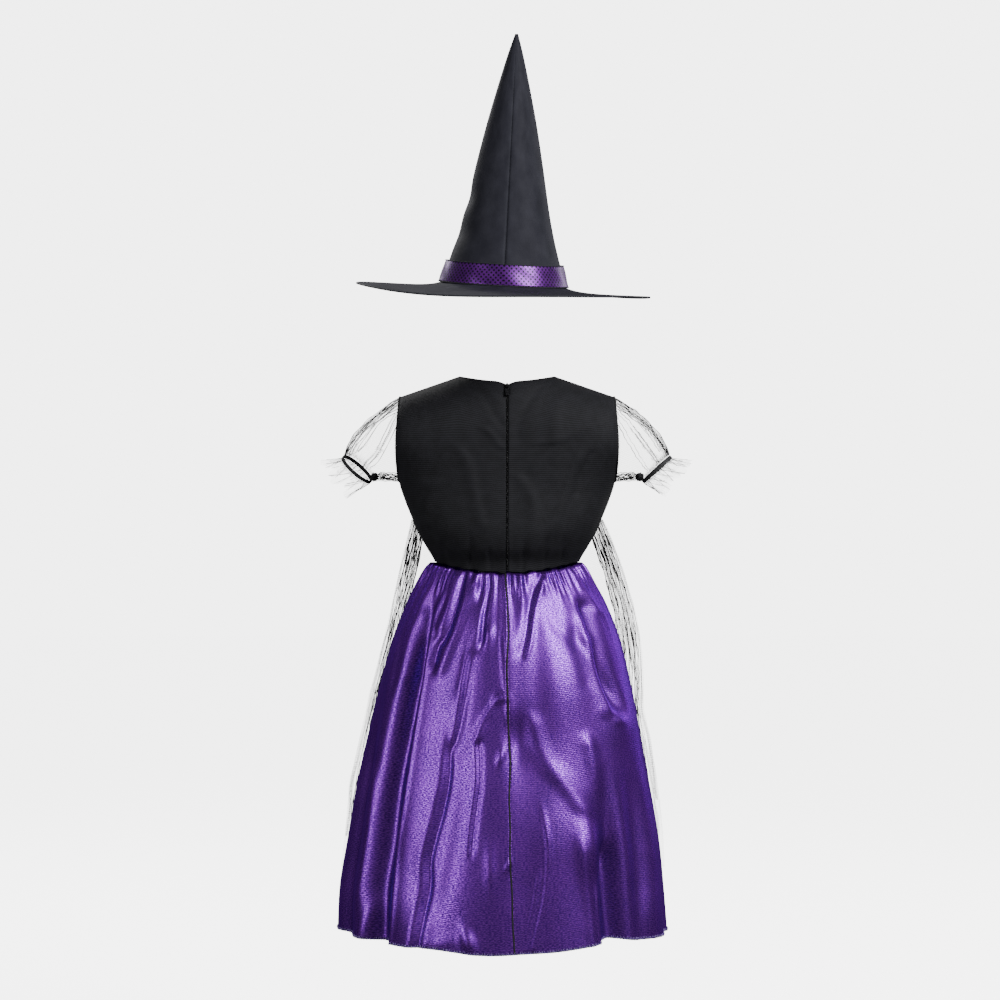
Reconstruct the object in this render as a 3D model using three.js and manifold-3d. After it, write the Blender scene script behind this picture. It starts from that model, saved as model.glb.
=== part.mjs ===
// Child's witch costume, filled out as if worn: a pointed hat above a black and purple dress.
// Millimetres, +Z up. The back of the dress faces -Y and the wearer's right side is +X.
// The origin lies between the shoulders, level with the top of the neck.

import * as THREE from 'three';
import { mergeVertices } from 'three/addons/utils/BufferGeometryUtils.js';
import Module from 'manifold-3d';

const degree = Math.PI / 180;
const tiny = 1e-4;
const halvings = 40;

// Walls and seams
const clothWall = 1.2;
const netWall = 1.0;
const seamGap = 0.3;
const halfSeam = seamGap / 2;

// Dress, heights and the places of its edges
const waistHeight = -240;
const waistDipBack = 13;
const waistDipFront = 5;
const hemHeight = -719;
const yokeHeight = -80;
const armhole = { x: 138, height: -81, halfHeight: 54.6, halfDepth: 48 };
const neckHalfWidth = 62;
const neckBack = { depth: 52, drop: 8, notch: 5 };
const neckFront = { depth: 56, drop: 44, notch: 0 };
const notchHalfWidth = 5;
const shoulderDrop = armhole.height + armhole.halfHeight;

// Bodice, sections from the waist up: half width, depth to the back and front, roundness of the corner
const bodiceSections = [
  { z: -262, halfWidth: 91, back: 69, front: 69, power: 2.0, shift: -2 },
  { z: -240, halfWidth: 94, back: 70, front: 70, power: 2.0, shift: -2 },
  { z: -222, halfWidth: 104, back: 79, front: 77, power: 2.1, shift: -2 },
  { z: -201, halfWidth: 116, back: 83, front: 82, power: 2.2, shift: -1 },
  { z: -181, halfWidth: 124, back: 82, front: 85, power: 2.3, shift: 0 },
  { z: -160, halfWidth: 132, back: 80, front: 86, power: 2.3, shift: 0 },
  { z: -136, halfWidth: 138, back: 78, front: 85, power: 2.3, shift: 0 },
  { z: -80, halfWidth: 138, back: 76, front: 79, power: 2.3, shift: 0 },
];
const bodiceGathers = { perQuarter: 5, depth: 1.8, reach: 0.22, unevenness: 0.8 };

// Skirt, sections from the waist down
const skirtSections = [
  { z: -725, halfWidth: 215, depth: 175, shift: -5 },
  { z: -660, halfWidth: 211, depth: 170, shift: -6 },
  { z: -600, halfWidth: 203, depth: 163, shift: -4 },
  { z: -529, halfWidth: 191, depth: 152, shift: -4 },
  { z: -467, halfWidth: 178, depth: 140, shift: -3 },
  { z: -400, halfWidth: 163, depth: 127, shift: -2 },
  { z: -342, halfWidth: 148, depth: 113, shift: -1 },
  { z: -295, halfWidth: 130, depth: 98, shift: -1 },
  { z: -264, halfWidth: 114, depth: 86, shift: -2 },
  { z: -246, halfWidth: 103, depth: 77, shift: -2 },
  { z: -238, halfWidth: 94, depth: 70, shift: -2 },
];
// Depth of the skirt's sections as a share of their half width
const skirtFlatness = 0.8;
const skirtGathers = { count: 32, depth: 4.4, reach: 0.13, unevenness: 1.1 };

// Skirt, large folds: the valley's angle at the waist and at the hem, 0 at the centre back, its depth and
// half width, and the shares of the length between which it forms and fades (2 means that it reaches the hem)
const skirtFolds = [
  { top: -76, hem: -71, depth: 10, halfWidth: 6, from: 0.3, to: 2 },
  { top: -50, hem: -50, depth: 23, halfWidth: 6, from: 0.02, to: 2 },
  { top: -10, hem: -28, depth: 13, halfWidth: 6, from: 0.08, to: 2 },
  { top: 14, hem: 9, depth: 13, halfWidth: 8, from: 0.08, to: 2 },
  { top: 22, hem: 117, depth: 10, halfWidth: 6, from: 0.06, to: 0.44 },
  { top: 36, hem: 43, depth: 26, halfWidth: 6, from: 0.5, to: 2 },
  { top: 60, hem: 58, depth: 11, halfWidth: 7, from: 0.45, to: 2 },
  { top: 88, hem: 83, depth: 8, halfWidth: 6, from: 0.35, to: 2 },
  { top: 110, hem: 106, depth: 16, halfWidth: 7, from: 0.1, to: 2 },
  { top: 133, hem: 130, depth: 20, halfWidth: 7, from: 0.2, to: 2 },
  { top: 158, hem: 154, depth: 14, halfWidth: 7, from: 0.05, to: 2 },
  { top: 182, hem: 178, depth: 18, halfWidth: 8, from: 0.25, to: 2 },
  { top: 204, hem: 205, depth: 15, halfWidth: 7, from: 0.08, to: 2 },
  { top: 229, hem: 231, depth: 19, halfWidth: 7, from: 0.15, to: 2 },
  { top: 254, hem: 257, depth: 13, halfWidth: 6, from: 0.1, to: 2 },
];

const foldEase = { forming: 0.3, fading: 0.12 };

// Hem, how far it hangs lower (positive) near some angles
const hemDrops = [
  { at: -5, drop: 8, halfWidth: 16 },
  { at: 16, drop: 4, halfWidth: 12 },
  { at: 43, drop: -5, halfWidth: 9 },
  { at: -80, drop: -5, halfWidth: 22 },
];

// Centre-back seam of the skirt, a black strip that drifts to the right on the way down
const backSeam = { width: 3, thickness: 1.8, drift: 3.5 };

// Zip down the centre back
const chain = { width: 2.4, thickness: 1.8, topHeight: -15.6, bottomGap: 2 };
const slider = { height: -16, width: 7, length: 8.4, corner: 1.6, frontPlate: 1.6, backPlate: 1.2, gap: 3 };
const sliderNeck = { width: 1.8, low: 1.4, high: 4 };
const bail = { width: 2, bar: 1, clearance: 1.8, low: -3.6, high: 3.6 };
const pullTab = { width: 4.6, thickness: 0.8, axle: 1, eyeWidth: 3.2, eyeEnd: 6, length: 17, axisHeight: 1 };

// Net sleeves: rings from the armhole to the elastic, for the wearer's right side
const sleeveRings = [
  { share: 0, x: armhole.x + clothWall / 2 + seamGap, z: -81, halfHeight: 54.6, halfDepth: 48.2, tilt: 0 },
  { share: 0.34, x: 160, z: -90.8, halfHeight: 45.5, halfDepth: 52, tilt: 7 },
  { share: 0.7, x: 181, z: -104, halfHeight: 34.5, halfDepth: 43, tilt: 22 },
  { share: 1, x: 192.8, z: -117.5, halfHeight: 24.3, halfDepth: 22, tilt: 48 },
];
const sleeveGathers = { count: 8, depth: 2.4, full: 0.5, fading: 0.75 };
const ruffleRings = [
  { share: 0, x: 196.9, z: -122.1, halfHeight: 24.3, halfDepth: 22, tilt: 48 },
  { share: 0.5, x: 212, z: -129, halfHeight: 25.5, halfDepth: 24, tilt: 43 },
  { share: 1, x: 225, z: -134, halfHeight: 26, halfDepth: 26, tilt: 38 },
];
const ruffleWaves = { count: 7, depth: 5 };
const elastic = { x: 195, z: -120, halfHeight: 24.3, halfDepth: 22, tilt: 48, width: 5, thickness: 2 };
const cuffTurn = { right: 0, left: 14, start: 0.4 };
const sleeveSeam = { radius: 2.6, height: -132.2, start: 139, end: 163 };
const cuffKnot = { x: 168.8, z: -129.2, halfLength: 5.4, halfDepth: 4.6, halfHeight: 4.8 };

// Net overlay on the front, sewn in a shallow V across the bodice
const overlay = {
  sideTop: -185,
  centreTop: -234,
  sideHem: -640,
  centreHem: -668,
  touchHeight: -430,
  topEdgeAngle: 89,
  hemEdgeAngle: 77,
  clearTop: 5.4,
  clearFrom: -260,
  clearHem: 8,
  bulgeLeft: 1,
  bulgeRight: 17,
  waves: 9,
  waveDepth: 4.5,
  waveStart: 0.02,
  waveFull: 0.9,
  ease: 0.5,
};

// Hat, in its own frame: rim level at zero, brim and cone on one axis
const hatPlace = { x: -4.8, y: 0, z: 114.4, leanBack: 4.7, leanRight: 3 };
const coneBase = 8;
const coneSections = [
  { z: 0, radius: 79.4 },
  { z: 34, radius: 69.6 },
  { z: 60, radius: 62.6 },
  { z: 107, radius: 52 },
  { z: 154, radius: 43 },
  { z: 201, radius: 33 },
  { z: 248, radius: 21.8 },
  { z: 295, radius: 9.6 },
  { z: 321, radius: 1.7 },
];
const coneTipCore = 0.4;
const brim = {
  innerRadius: 77.5,
  radius: 190.5,
  thickness: 3,
  rise: 7.7,
  riseReach: 16,
  sag: 2.75,
  twist: 4.4,
  level: 0.3,
};
const band = { bottomRadius: 84.5, topRadius: 76.8, height: 26.5, bottom: 7.2, sag: 1.6, thickness: 1.0 };

// Materials, one for each finish
function finish(color, roughness, metalness = 0, opacity = 1) {
  return { color, roughness, metalness, opacity, transparent: opacity < 1 };
}

const finishes = {
  bodiceCloth: finish(0x1e1e22, 0.85),
  skirtSatin: finish(0x5b2e9e, 0.42),
  blackThread: finish(0x121214, 0.8),
  blackNet: finish(0x17171a, 0.9, 0, 0.4),
  blackElastic: finish(0x101012, 0.75),
  hatTaffeta: finish(0x2f2f33, 0.6),
  bandFoil: finish(0x8b5bb0, 0.3),
  zipEnamel: finish(0x141416, 0.35, 0.3),
};

const costume = new THREE.Group();

function addPiece(parent, name, geometry, look) {
  const piece = new THREE.Mesh(geometry, new THREE.MeshStandardMaterial(finishes[look]));
  piece.name = name;
  parent.add(piece);
  return piece;
}

// Helpers

function lerp(a, b, share) {
  return a + (b - a) * share;
}

function smooth(low, high, value) {
  return THREE.MathUtils.smoothstep(value, low, high);
}

function bump(distance, halfWidth) {
  return Math.exp(-((distance / halfWidth) ** 2));
}

function evenSteps(count) {
  return Array.from({ length: count + 1 }, (_, i) => i / count);
}

// Reads a table of sections at one place, along a smooth curve through its rows
function sectionAt(rows, key, place) {
  const last = rows.length - 1;
  let i = 0;
  while (i < last - 1 && place > rows[i + 1][key]) {
    i += 1;
  }
  const before = rows[Math.max(i - 1, 0)];
  const low = rows[i];
  const high = rows[i + 1];
  const after = rows[Math.min(i + 2, last)];
  const span = high[key] - low[key];
  const s = THREE.MathUtils.clamp((place - low[key]) / span, 0, 1);
  const section = {};
  for (const name of Object.keys(low)) {
    const startSlope = ((high[name] - before[name]) / (high[key] - before[key])) * span;
    const endSlope = ((after[name] - low[name]) / (after[key] - low[key])) * span;
    const rise = high[name] - low[name];
    const curve = 3 * rise - 2 * startSlope - endSlope;
    const twist = startSlope + endSlope - 2 * rise;
    section[name] = low[name] + s * (startSlope + s * (curve + s * twist));
  }
  return section;
}

function normalAt(at, u, v, closed) {
  const step = 0.002;
  const low = closed ? u - step : Math.max(u - step, 0);
  const high = closed ? u + step : Math.min(u + step, 1);
  const across = at(high, v).sub(at(low, v));
  const along = at(u, Math.min(v + step, 1)).sub(at(u, Math.max(v - step, 0)));
  return across.cross(along).normalize();
}

function turnOutward(geometry) {
  const p = geometry.attributes.position;
  const index = geometry.index;
  const a = new THREE.Vector3();
  const b = new THREE.Vector3();
  const c = new THREE.Vector3();
  let volume = 0;
  for (let i = 0; i < index.count; i += 3) {
    a.fromBufferAttribute(p, index.getX(i));
    b.fromBufferAttribute(p, index.getX(i + 1));
    c.fromBufferAttribute(p, index.getX(i + 2));
    volume += a.dot(b.cross(c));
  }
  if (volume < 0) {
    for (let i = 0; i < index.count; i += 3) {
      const kept = index.getX(i + 1);
      index.setX(i + 1, index.getX(i + 2));
      index.setX(i + 2, kept);
    }
  }
  return geometry;
}

// A closed wall on both sides of the surface at(u, v). A closed one joins u = 1 to u = 0, as a tube does.
function wallOn(at, { across, along, thickness, closed = false }) {
  const us = Array.isArray(across) ? across : evenSteps(across).slice(0, closed ? -1 : undefined);
  const vs = Array.isArray(along) ? along : evenSteps(along);
  const points = [];
  for (const side of [1, -1]) {
    for (const v of vs) {
      const half = (typeof thickness === 'function' ? thickness(v) : thickness) / 2;
      for (const u of us) {
        const point = at(u, v).addScaledVector(normalAt(at, u, v, closed), side * half);
        points.push(point.x, point.y, point.z);
      }
    }
  }
  const width = us.length;
  const layer = width * vs.length;
  const faces = [];
  const quad = (a, b, c, d) => faces.push(a, b, c, a, c, d);
  const next = (i) => (i + 1) % width;
  const lastColumn = closed ? width : width - 1;
  for (let i = 0; i < lastColumn; i += 1) {
    for (let j = 0; j < vs.length - 1; j += 1) {
      const row = j * width;
      const below = row + width;
      quad(row + i, row + next(i), below + next(i), below + i);
      quad(layer + row + i, layer + below + i, layer + below + next(i), layer + row + next(i));
    }
    const end = (vs.length - 1) * width;
    quad(i, layer + i, layer + next(i), next(i));
    quad(end + i, end + next(i), layer + end + next(i), layer + end + i);
  }
  if (!closed) {
    for (let j = 0; j < vs.length - 1; j += 1) {
      const row = j * width;
      const below = row + width;
      const edge = width - 1;
      quad(row, below, layer + below, layer + row);
      quad(row + edge, layer + row + edge, layer + below + edge, below + edge);
    }
  }
  const geometry = new THREE.BufferGeometry();
  geometry.setAttribute('position', new THREE.Float32BufferAttribute(points, 3));
  geometry.setIndex(faces);
  return turnOutward(geometry);
}

// Bodice

function waistAt(angle) {
  const facing = Math.cos(angle);
  const dip = facing > 0 ? waistDipBack : waistDipFront;
  return waistHeight - dip * facing * facing;
}

// A point of the bodice: angle 0 at the centre, 90 degrees at the side, and v from the waist to the top edge.
// Above the yoke it turns in by part of a circle, less at the neck than at the shoulder.
const lowerShare = 0.62;
const yokeTurn = { shoulder: 90, neck: 40 };
const underarmHeight = armhole.height - armhole.halfHeight;
const underarmShare = ((underarmHeight - waistHeight) / (yokeHeight - waistHeight)) * lowerShare;

function bodiceBelowYoke(angle, z, isBack) {
  const section = sectionAt(bodiceSections, 'z', z);
  const sine = Math.sin(Math.abs(angle)) ** (2 / section.power);
  const cosine = Math.max(Math.cos(angle), 0) ** (2 / section.power);
  const inArmhole = Math.max(1 - ((z - armhole.height) / armhole.halfHeight) ** 2, 0);
  const edge = armhole.halfDepth * Math.sqrt(inArmhole) * (z < armhole.height + armhole.halfHeight ? 1 : 0);
  const depth = isBack ? section.back : section.front;
  const out = edge + (depth - edge) * cosine + halfSeam;
  const halfWidth = Math.min(section.halfWidth, armhole.x);
  const x = section.shift * cosine + halfWidth * sine * Math.sign(angle);
  return new THREE.Vector3(x, isBack ? -out : out, z);
}

function bodiceTopEdge(across, isBack) {
  const neck = isBack ? neckBack : neckFront;
  const neckShare = neckHalfWidth / armhole.x;
  const share = Math.abs(across);
  let point;
  if (share < neckShare) {
    const turn = (share / neckShare) * 90 * degree;
    const notch = neck.notch * bump(share * armhole.x, notchHalfWidth);
    const drop = neck.drop * Math.cos(turn) ** 2 + notch;
    point = new THREE.Vector3(neckHalfWidth * Math.sin(turn), neck.depth * Math.cos(turn), -drop);
  } else {
    const share2 = (share - neckShare) / (1 - neckShare);
    point = new THREE.Vector3(lerp(neckHalfWidth, armhole.x, share2), 0, shoulderDrop * share2);
  }
  const out = point.y + halfSeam;
  return new THREE.Vector3(point.x * Math.sign(across), isBack ? -out : out, point.z);
}

function bodiceAt(angle, v, isBack) {
  if (v <= lowerShare) {
    const z = lerp(waistAt(isBack ? angle : Math.PI - angle), yokeHeight, v / lowerShare);
    const point = bodiceBelowYoke(angle, z, isBack);
    const fade = Math.max(1 - v / bodiceGathers.reach, 0);
    const drift = bodiceGathers.unevenness * Math.sin(3 * angle);
    const waves = Math.cos(angle * 4 * bodiceGathers.perQuarter + drift);
    const inward = bodiceGathers.depth * fade * fade * 0.5 * (1 - waves);
    const flat = Math.hypot(point.x, point.y);
    return point.multiply(new THREE.Vector3(1 - inward / flat, 1 - inward / flat, 1));
  }
  const rise = (v - lowerShare) / (1 - lowerShare);
  const low = bodiceBelowYoke(angle, yokeHeight, isBack);
  const top = bodiceTopEdge(low.x / armhole.x, isBack);
  const neckness = Math.max(1 - Math.abs(low.x) / neckHalfWidth, 0);
  const lastTurn = lerp(yokeTurn.shoulder, yokeTurn.neck, neckness) * degree;
  const turn = rise * lastTurn;
  const inward = (1 - Math.cos(turn)) / (1 - Math.cos(lastTurn));
  const upward = Math.sin(turn) / Math.sin(lastTurn);
  return new THREE.Vector3(lerp(low.x, top.x, inward), lerp(low.y, top.y, inward), lerp(low.z, top.z, upward));
}

const bodiceRows = [0, 0.07, 0.16, 0.28, underarmShare, 0.43, 0.5, lowerShare, 0.73, 0.86, 1];
const zipEdge = chain.width / 2 + seamGap;

// The first column of a back panel starts just past the zip and is pulled to its edge
const firstColumn = { past: 0.6, halfWidth: 100 };

// The angle on a centred section where the surface lies this far from the middle line
function angleFromCentre(distance, halfWidth, power) {
  return Math.asin(Math.min(distance / halfWidth, 1) ** (power / 2));
}

// The share of the way round to the side where the neck's corner lies, with columns spread on both sides of it
const yokePower = bodiceSections[bodiceSections.length - 1].power;
const neckCorner = Math.asin((neckHalfWidth / armhole.x) ** (yokePower / 2)) / (90 * degree);
const neckColumns = 5;
const shoulderColumns = 11;
const toCorner = evenSteps(neckColumns).map((step) => step * neckCorner);
const pastCorner = evenSteps(shoulderColumns).map((step) => lerp(neckCorner, 1, step));
const backColumns = [...toCorner.slice(0, -1), ...pastCorner];
const frontHalf = backColumns.slice(1).map((step) => 0.5 + step / 2);
const frontColumns = [...frontHalf.map((step) => 1 - step).reverse(), 0.5, ...frontHalf];

for (const side of [-1, 1]) {
  const at = (u, v) => {
    const power = lerp(2, yokePower, smooth(0, lowerShare, v));
    const start = angleFromCentre(zipEdge + firstColumn.past, firstColumn.halfWidth, power);
    const point = bodiceAt(side * Math.max(start, u * 90 * degree), v, true);
    const pull = side * zipEdge - bodiceAt(side * start, v, true).x;
    point.x += pull * (1 - u) ** 3;
    return point;
  };
  const geometry = wallOn(at, { across: backColumns, along: bodiceRows, thickness: clothWall });
  addPiece(costume, side < 0 ? 'bodice_back_left' : 'bodice_back_right', geometry, 'bodiceCloth');
}

const bodiceFrontAt = (u, v) => bodiceAt(lerp(-90, 90, u) * degree, v, false);
addPiece(
  costume,
  'bodice_front',
  wallOn(bodiceFrontAt, { across: frontColumns, along: bodiceRows, thickness: clothWall }),
  'bodiceCloth',
);

// Skirt

function turnBetween(a, b) {
  return THREE.MathUtils.euclideanModulo(a - b + 180, 360) - 180;
}

function hemAt(angle) {
  const place = angle / degree;
  let height = hemHeight;
  for (const row of hemDrops) {
    height -= row.drop * bump(turnBetween(place, row.at), row.halfWidth);
  }
  return height;
}

function skirtFoldDepth(angle, v) {
  let inward = 0;
  for (const fold of skirtFolds) {
    const apart = turnBetween(angle / degree, lerp(fold.top, fold.hem, v));
    const forming = smooth(fold.from, fold.from + foldEase.forming, v);
    const fading = 1 - smooth(fold.to - foldEase.fading, fold.to, v);
    inward += fold.depth * forming * fading * bump(apart, fold.halfWidth);
  }
  return inward;
}

function skirtGatherDepth(angle, v) {
  const waves = Math.cos(skirtGathers.count * angle + skirtGathers.unevenness * Math.sin(5 * angle));
  return 0.5 * (1 - waves) * skirtGathers.depth * Math.exp(-v / skirtGathers.reach);
}

function skirtAt(angle, v) {
  const z = lerp(waistAt(angle) - clothWall / 2 - seamGap, hemAt(angle), v);
  const section = sectionAt(skirtSections, 'z', z);
  const out = new THREE.Vector3(section.depth * Math.sin(angle), -section.halfWidth * Math.cos(angle), 0);
  const inward = skirtFoldDepth(angle, v) + skirtGatherDepth(angle, v);
  const base = new THREE.Vector3(section.halfWidth * Math.sin(angle), -section.depth * Math.cos(angle), z);
  base.x += section.shift;
  return base.addScaledVector(out.normalize(), -inward);
}

const skirtRows = [0, 0.03, 0.08, 0.15, 0.26, 0.42, 0.61, 0.8, 1];
const seamAngle = (v) => backSeam.drift * degree * v;
const skirtHalfWidth = (v) => sectionAt(skirtSections, 'z', lerp(waistHeight, hemHeight, v)).halfWidth;
const sideAngle = (v) => 90 * degree - halfSeam / (skirtFlatness * skirtHalfWidth(v));

for (const side of [-1, 1]) {
  const at = (u, v) => {
    const start = seamAngle(v) + side * Math.asin((backSeam.width / 2 + seamGap) / skirtHalfWidth(v));
    return skirtAt(lerp(start, side * sideAngle(v), u), v);
  };
  const geometry = wallOn(at, { across: 33, along: skirtRows, thickness: clothWall });
  addPiece(costume, side < 0 ? 'skirt_back_left' : 'skirt_back_right', geometry, 'skirtSatin');
}

const skirtFrontAt = (u, v) => skirtAt(lerp(Math.PI - sideAngle(v), Math.PI + sideAngle(v), u), v);
addPiece(
  costume,
  'skirt_front',
  wallOn((u, v) => skirtFrontAt(1 - u, v), { across: 66, along: skirtRows, thickness: clothWall }),
  'skirtSatin',
);

const backSeamAt = (u, v) => {
  const reach = Math.asin(backSeam.width / 2 / skirtHalfWidth(v));
  return skirtAt(seamAngle(v) + lerp(-reach, reach, u), v);
};
const seamWall = wallOn(backSeamAt, { across: 1, along: skirtRows, thickness: backSeam.thickness });
addPiece(costume, 'skirt_back_seam', seamWall, 'blackThread');

// Zip

const backCentre = (v) => bodiceAt(tiny, v, true);

function shareAtHeight(z) {
  let low = 0;
  let high = 1;
  for (let i = 0; i < halvings; i += 1) {
    const middle = (low + high) / 2;
    if (backCentre(middle).z < z) {
      low = middle;
    } else {
      high = middle;
    }
  }
  return low;
}

const chainAt = (u, v) => {
  const bottom = backCentre(0).z + chain.bottomGap;
  const point = backCentre(shareAtHeight(lerp(bottom, chain.topHeight, v)));
  return new THREE.Vector3(lerp(-chain.width / 2, chain.width / 2, u), point.y, point.z);
};
const chainWall = wallOn(chainAt, { across: 1, along: 14, thickness: chain.thickness });
addPiece(costume, 'zip_chain', chainWall, 'zipEnamel');

const sliderShare = shareAtHeight(slider.height);
const sliderPlace = backCentre(sliderShare);
const sliderAbove = backCentre(sliderShare + 0.01);
const sliderLean = Math.atan2(sliderAbove.y - sliderPlace.y, sliderAbove.z - sliderPlace.z);
const zipHead = new THREE.Group();
zipHead.position.set(0, sliderPlace.y, sliderPlace.z);
zipHead.rotation.x = -sliderLean;
costume.add(zipHead);

const wasm = await Module();
wasm.setup();

function toSolid(geometry) {
  const bare = geometry.clone();
  bare.deleteAttribute('normal');
  bare.deleteAttribute('uv');
  const merged = mergeVertices(bare, tiny);
  return new wasm.Manifold(
    new wasm.Mesh({
      numProp: 3,
      vertProperties: new Float32Array(merged.attributes.position.array),
      triVerts: new Uint32Array(merged.index.array),
    }),
  );
}

function fromSolid(solid) {
  const mesh = solid.getMesh();
  const geometry = new THREE.BufferGeometry();
  geometry.setAttribute('position', new THREE.Float32BufferAttribute(mesh.vertProperties, 3));
  geometry.setIndex(Array.from(mesh.triVerts));
  return geometry;
}

function block(low, high) {
  const size = new THREE.Vector3().subVectors(high, low);
  const middle = new THREE.Vector3().addVectors(low, high).multiplyScalar(0.5);
  return toSolid(new THREE.BoxGeometry(size.x, size.y, size.z).translate(middle.x, middle.y, middle.z));
}

const frontFace = -slider.gap / 2 - slider.frontPlate;
const bailInner = frontFace - bail.clearance;
const bailOuter = bailInner - bail.bar;
const into = 0.2;

function bailBar(yLow, yHigh, zLow, zHigh) {
  const half = bail.width / 2;
  return block(new THREE.Vector3(-half, yLow, zLow), new THREE.Vector3(half, yHigh, zHigh));
}

function sliderPlate(yLow, yHigh) {
  const outline = new THREE.Shape();
  const half = slider.width / 2;
  const end = slider.length / 2;
  const corner = slider.corner;
  outline.moveTo(-half + corner, -end);
  outline.lineTo(half - corner, -end);
  outline.lineTo(half, -end + corner);
  outline.lineTo(half, end - corner);
  outline.lineTo(half - corner, end);
  outline.lineTo(-half + corner, end);
  outline.lineTo(-half, end - corner);
  outline.lineTo(-half, -end + corner);
  const plate = new THREE.ExtrudeGeometry(outline, { depth: yHigh - yLow, bevelEnabled: false });
  plate.rotateX(90 * degree);
  plate.translate(0, yHigh, 0);
  return toSolid(plate);
}

const sliderSolid = sliderPlate(frontFace, -slider.gap / 2)
  .add(sliderPlate(slider.gap / 2, slider.gap / 2 + slider.backPlate))
  .add(
    block(
      new THREE.Vector3(-sliderNeck.width / 2, -slider.gap / 2 - into, sliderNeck.low),
      new THREE.Vector3(sliderNeck.width / 2, slider.gap / 2 + into, sliderNeck.high),
    ),
  )
  .add(bailBar(bailOuter, frontFace + into, bail.high - bail.bar, bail.high))
  .add(bailBar(bailOuter, frontFace + into, bail.low, bail.low + bail.bar))
  .add(bailBar(bailOuter, bailInner, bail.low, bail.high));
addPiece(zipHead, 'zip_slider', fromSolid(sliderSolid), 'zipEnamel');

// Pull tab, a plate with an eye round the bail, hanging from the axle at its top

const tabOutline = new THREE.Shape();
const tabHalf = pullTab.width / 2;
tabOutline.moveTo(-tabHalf, pullTab.axle / 2);
tabOutline.lineTo(-tabHalf, -pullTab.length + tabHalf);
tabOutline.absarc(0, -pullTab.length + tabHalf, tabHalf, Math.PI, 2 * Math.PI);
tabOutline.lineTo(tabHalf, pullTab.axle / 2);
const eye = new THREE.Path();
const eyeHalf = pullTab.eyeWidth / 2;
eye.moveTo(-eyeHalf, -pullTab.axle / 2);
eye.lineTo(eyeHalf, -pullTab.axle / 2);
eye.lineTo(eyeHalf, -pullTab.eyeEnd);
eye.lineTo(-eyeHalf, -pullTab.eyeEnd);
tabOutline.holes.push(eye);
const tabOptions = { depth: pullTab.thickness, bevelEnabled: false, curveSegments: 6 };
const tabGeometry = new THREE.ExtrudeGeometry(tabOutline, tabOptions);
tabGeometry.rotateX(90 * degree);
tabGeometry.translate(0, pullTab.thickness / 2, 0);
const tab = addPiece(zipHead, 'zip_pull_tab', fromSolid(toSolid(tabGeometry)), 'zipEnamel');
tab.position.set(0, frontFace - bail.clearance / 2, pullTab.axisHeight);

// Sleeves

function ringPoint(ring, turn, side, cuffShare) {
  const yaw = (side < 0 ? cuffTurn.left : cuffTurn.right) * degree * cuffShare;
  const tilt = ring.tilt * degree;
  const up = new THREE.Vector3(Math.sin(tilt), 0, Math.cos(tilt));
  const outward = new THREE.Vector3(Math.cos(tilt), 0, -Math.sin(tilt));
  const deep = new THREE.Vector3(0, -Math.cos(yaw), 0).addScaledVector(outward, Math.sin(yaw));
  const point = new THREE.Vector3(ring.x, 0, ring.z);
  point.addScaledVector(up, ring.halfHeight * Math.cos(turn));
  point.addScaledVector(deep, ring.halfDepth * Math.sin(turn));
  point.x *= side;
  return point;
}

function gathered(ring, turn, depth, count) {
  const wave = depth * Math.cos(count * turn);
  return { ...ring, halfHeight: ring.halfHeight + wave, halfDepth: ring.halfDepth + wave };
}

for (const side of [-1, 1]) {
  const name = side < 0 ? 'left' : 'right';
  const sleeveAt = (u, v) => {
    const turn = 2 * Math.PI * u;
    const upper = 0.5 * (1 + Math.cos(turn));
    const fullness = smooth(0, sleeveGathers.full, v) * (1 - smooth(sleeveGathers.fading, 1, v));
    const depth = sleeveGathers.depth * upper * fullness;
    const ring = gathered(sectionAt(sleeveRings, 'share', v), turn, depth, sleeveGathers.count);
    return ringPoint(ring, turn, side, smooth(cuffTurn.start, 1, v));
  };
  const ruffleAt = (u, v) => {
    const turn = 2 * Math.PI * u;
    const depth = ruffleWaves.depth * v;
    const ring = gathered(sectionAt(ruffleRings, 'share', v), turn, depth, ruffleWaves.count);
    return ringPoint(ring, turn, side, 1);
  };
  const elasticAt = (u, v) => {
    const along = lerp(-elastic.width / 2, elastic.width / 2, v);
    const tilt = elastic.tilt * degree;
    const x = elastic.x + along * Math.cos(tilt);
    const z = elastic.z - along * Math.sin(tilt);
    return ringPoint({ ...elastic, x, z }, 2 * Math.PI * u, side, 1);
  };
  const sleeveWall = wallOn(sleeveAt, { across: 32, along: 5, thickness: netWall, closed: true });
  const ruffleWall = wallOn(ruffleAt, { across: 36, along: 2, thickness: netWall, closed: true });
  const elasticWall = wallOn(elasticAt, { across: 20, along: 1, thickness: elastic.thickness, closed: true });
  addPiece(costume, `sleeve_${name}`, sleeveWall, 'blackNet');
  addPiece(costume, `cuff_ruffle_${name}`, ruffleWall, 'blackNet');
  addPiece(costume, `cuff_elastic_${name}`, elasticWall, 'blackElastic');

  const seamLength = sleeveSeam.end - sleeveSeam.start;
  const seamRod = new THREE.CapsuleGeometry(sleeveSeam.radius, seamLength - 2 * sleeveSeam.radius, 2, 8);
  seamRod.rotateZ(90 * degree);
  const seamX = (side * (sleeveSeam.start + sleeveSeam.end)) / 2;
  seamRod.translate(seamX, 0, sleeveSeam.height);
  addPiece(costume, `sleeve_seam_${name}`, fromSolid(toSolid(seamRod)), 'blackNet');

  const knot = new THREE.SphereGeometry(1, 10, 7);
  knot.scale(cuffKnot.halfLength, cuffKnot.halfDepth, cuffKnot.halfHeight);
  knot.translate(side * cuffKnot.x, 0, cuffKnot.z);
  addPiece(costume, `cuff_knot_${name}`, fromSolid(toSolid(knot)), 'blackElastic');
}

// Net overlay, seen from the front: angle 0 at the centre front, 90 degrees at the sides

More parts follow.
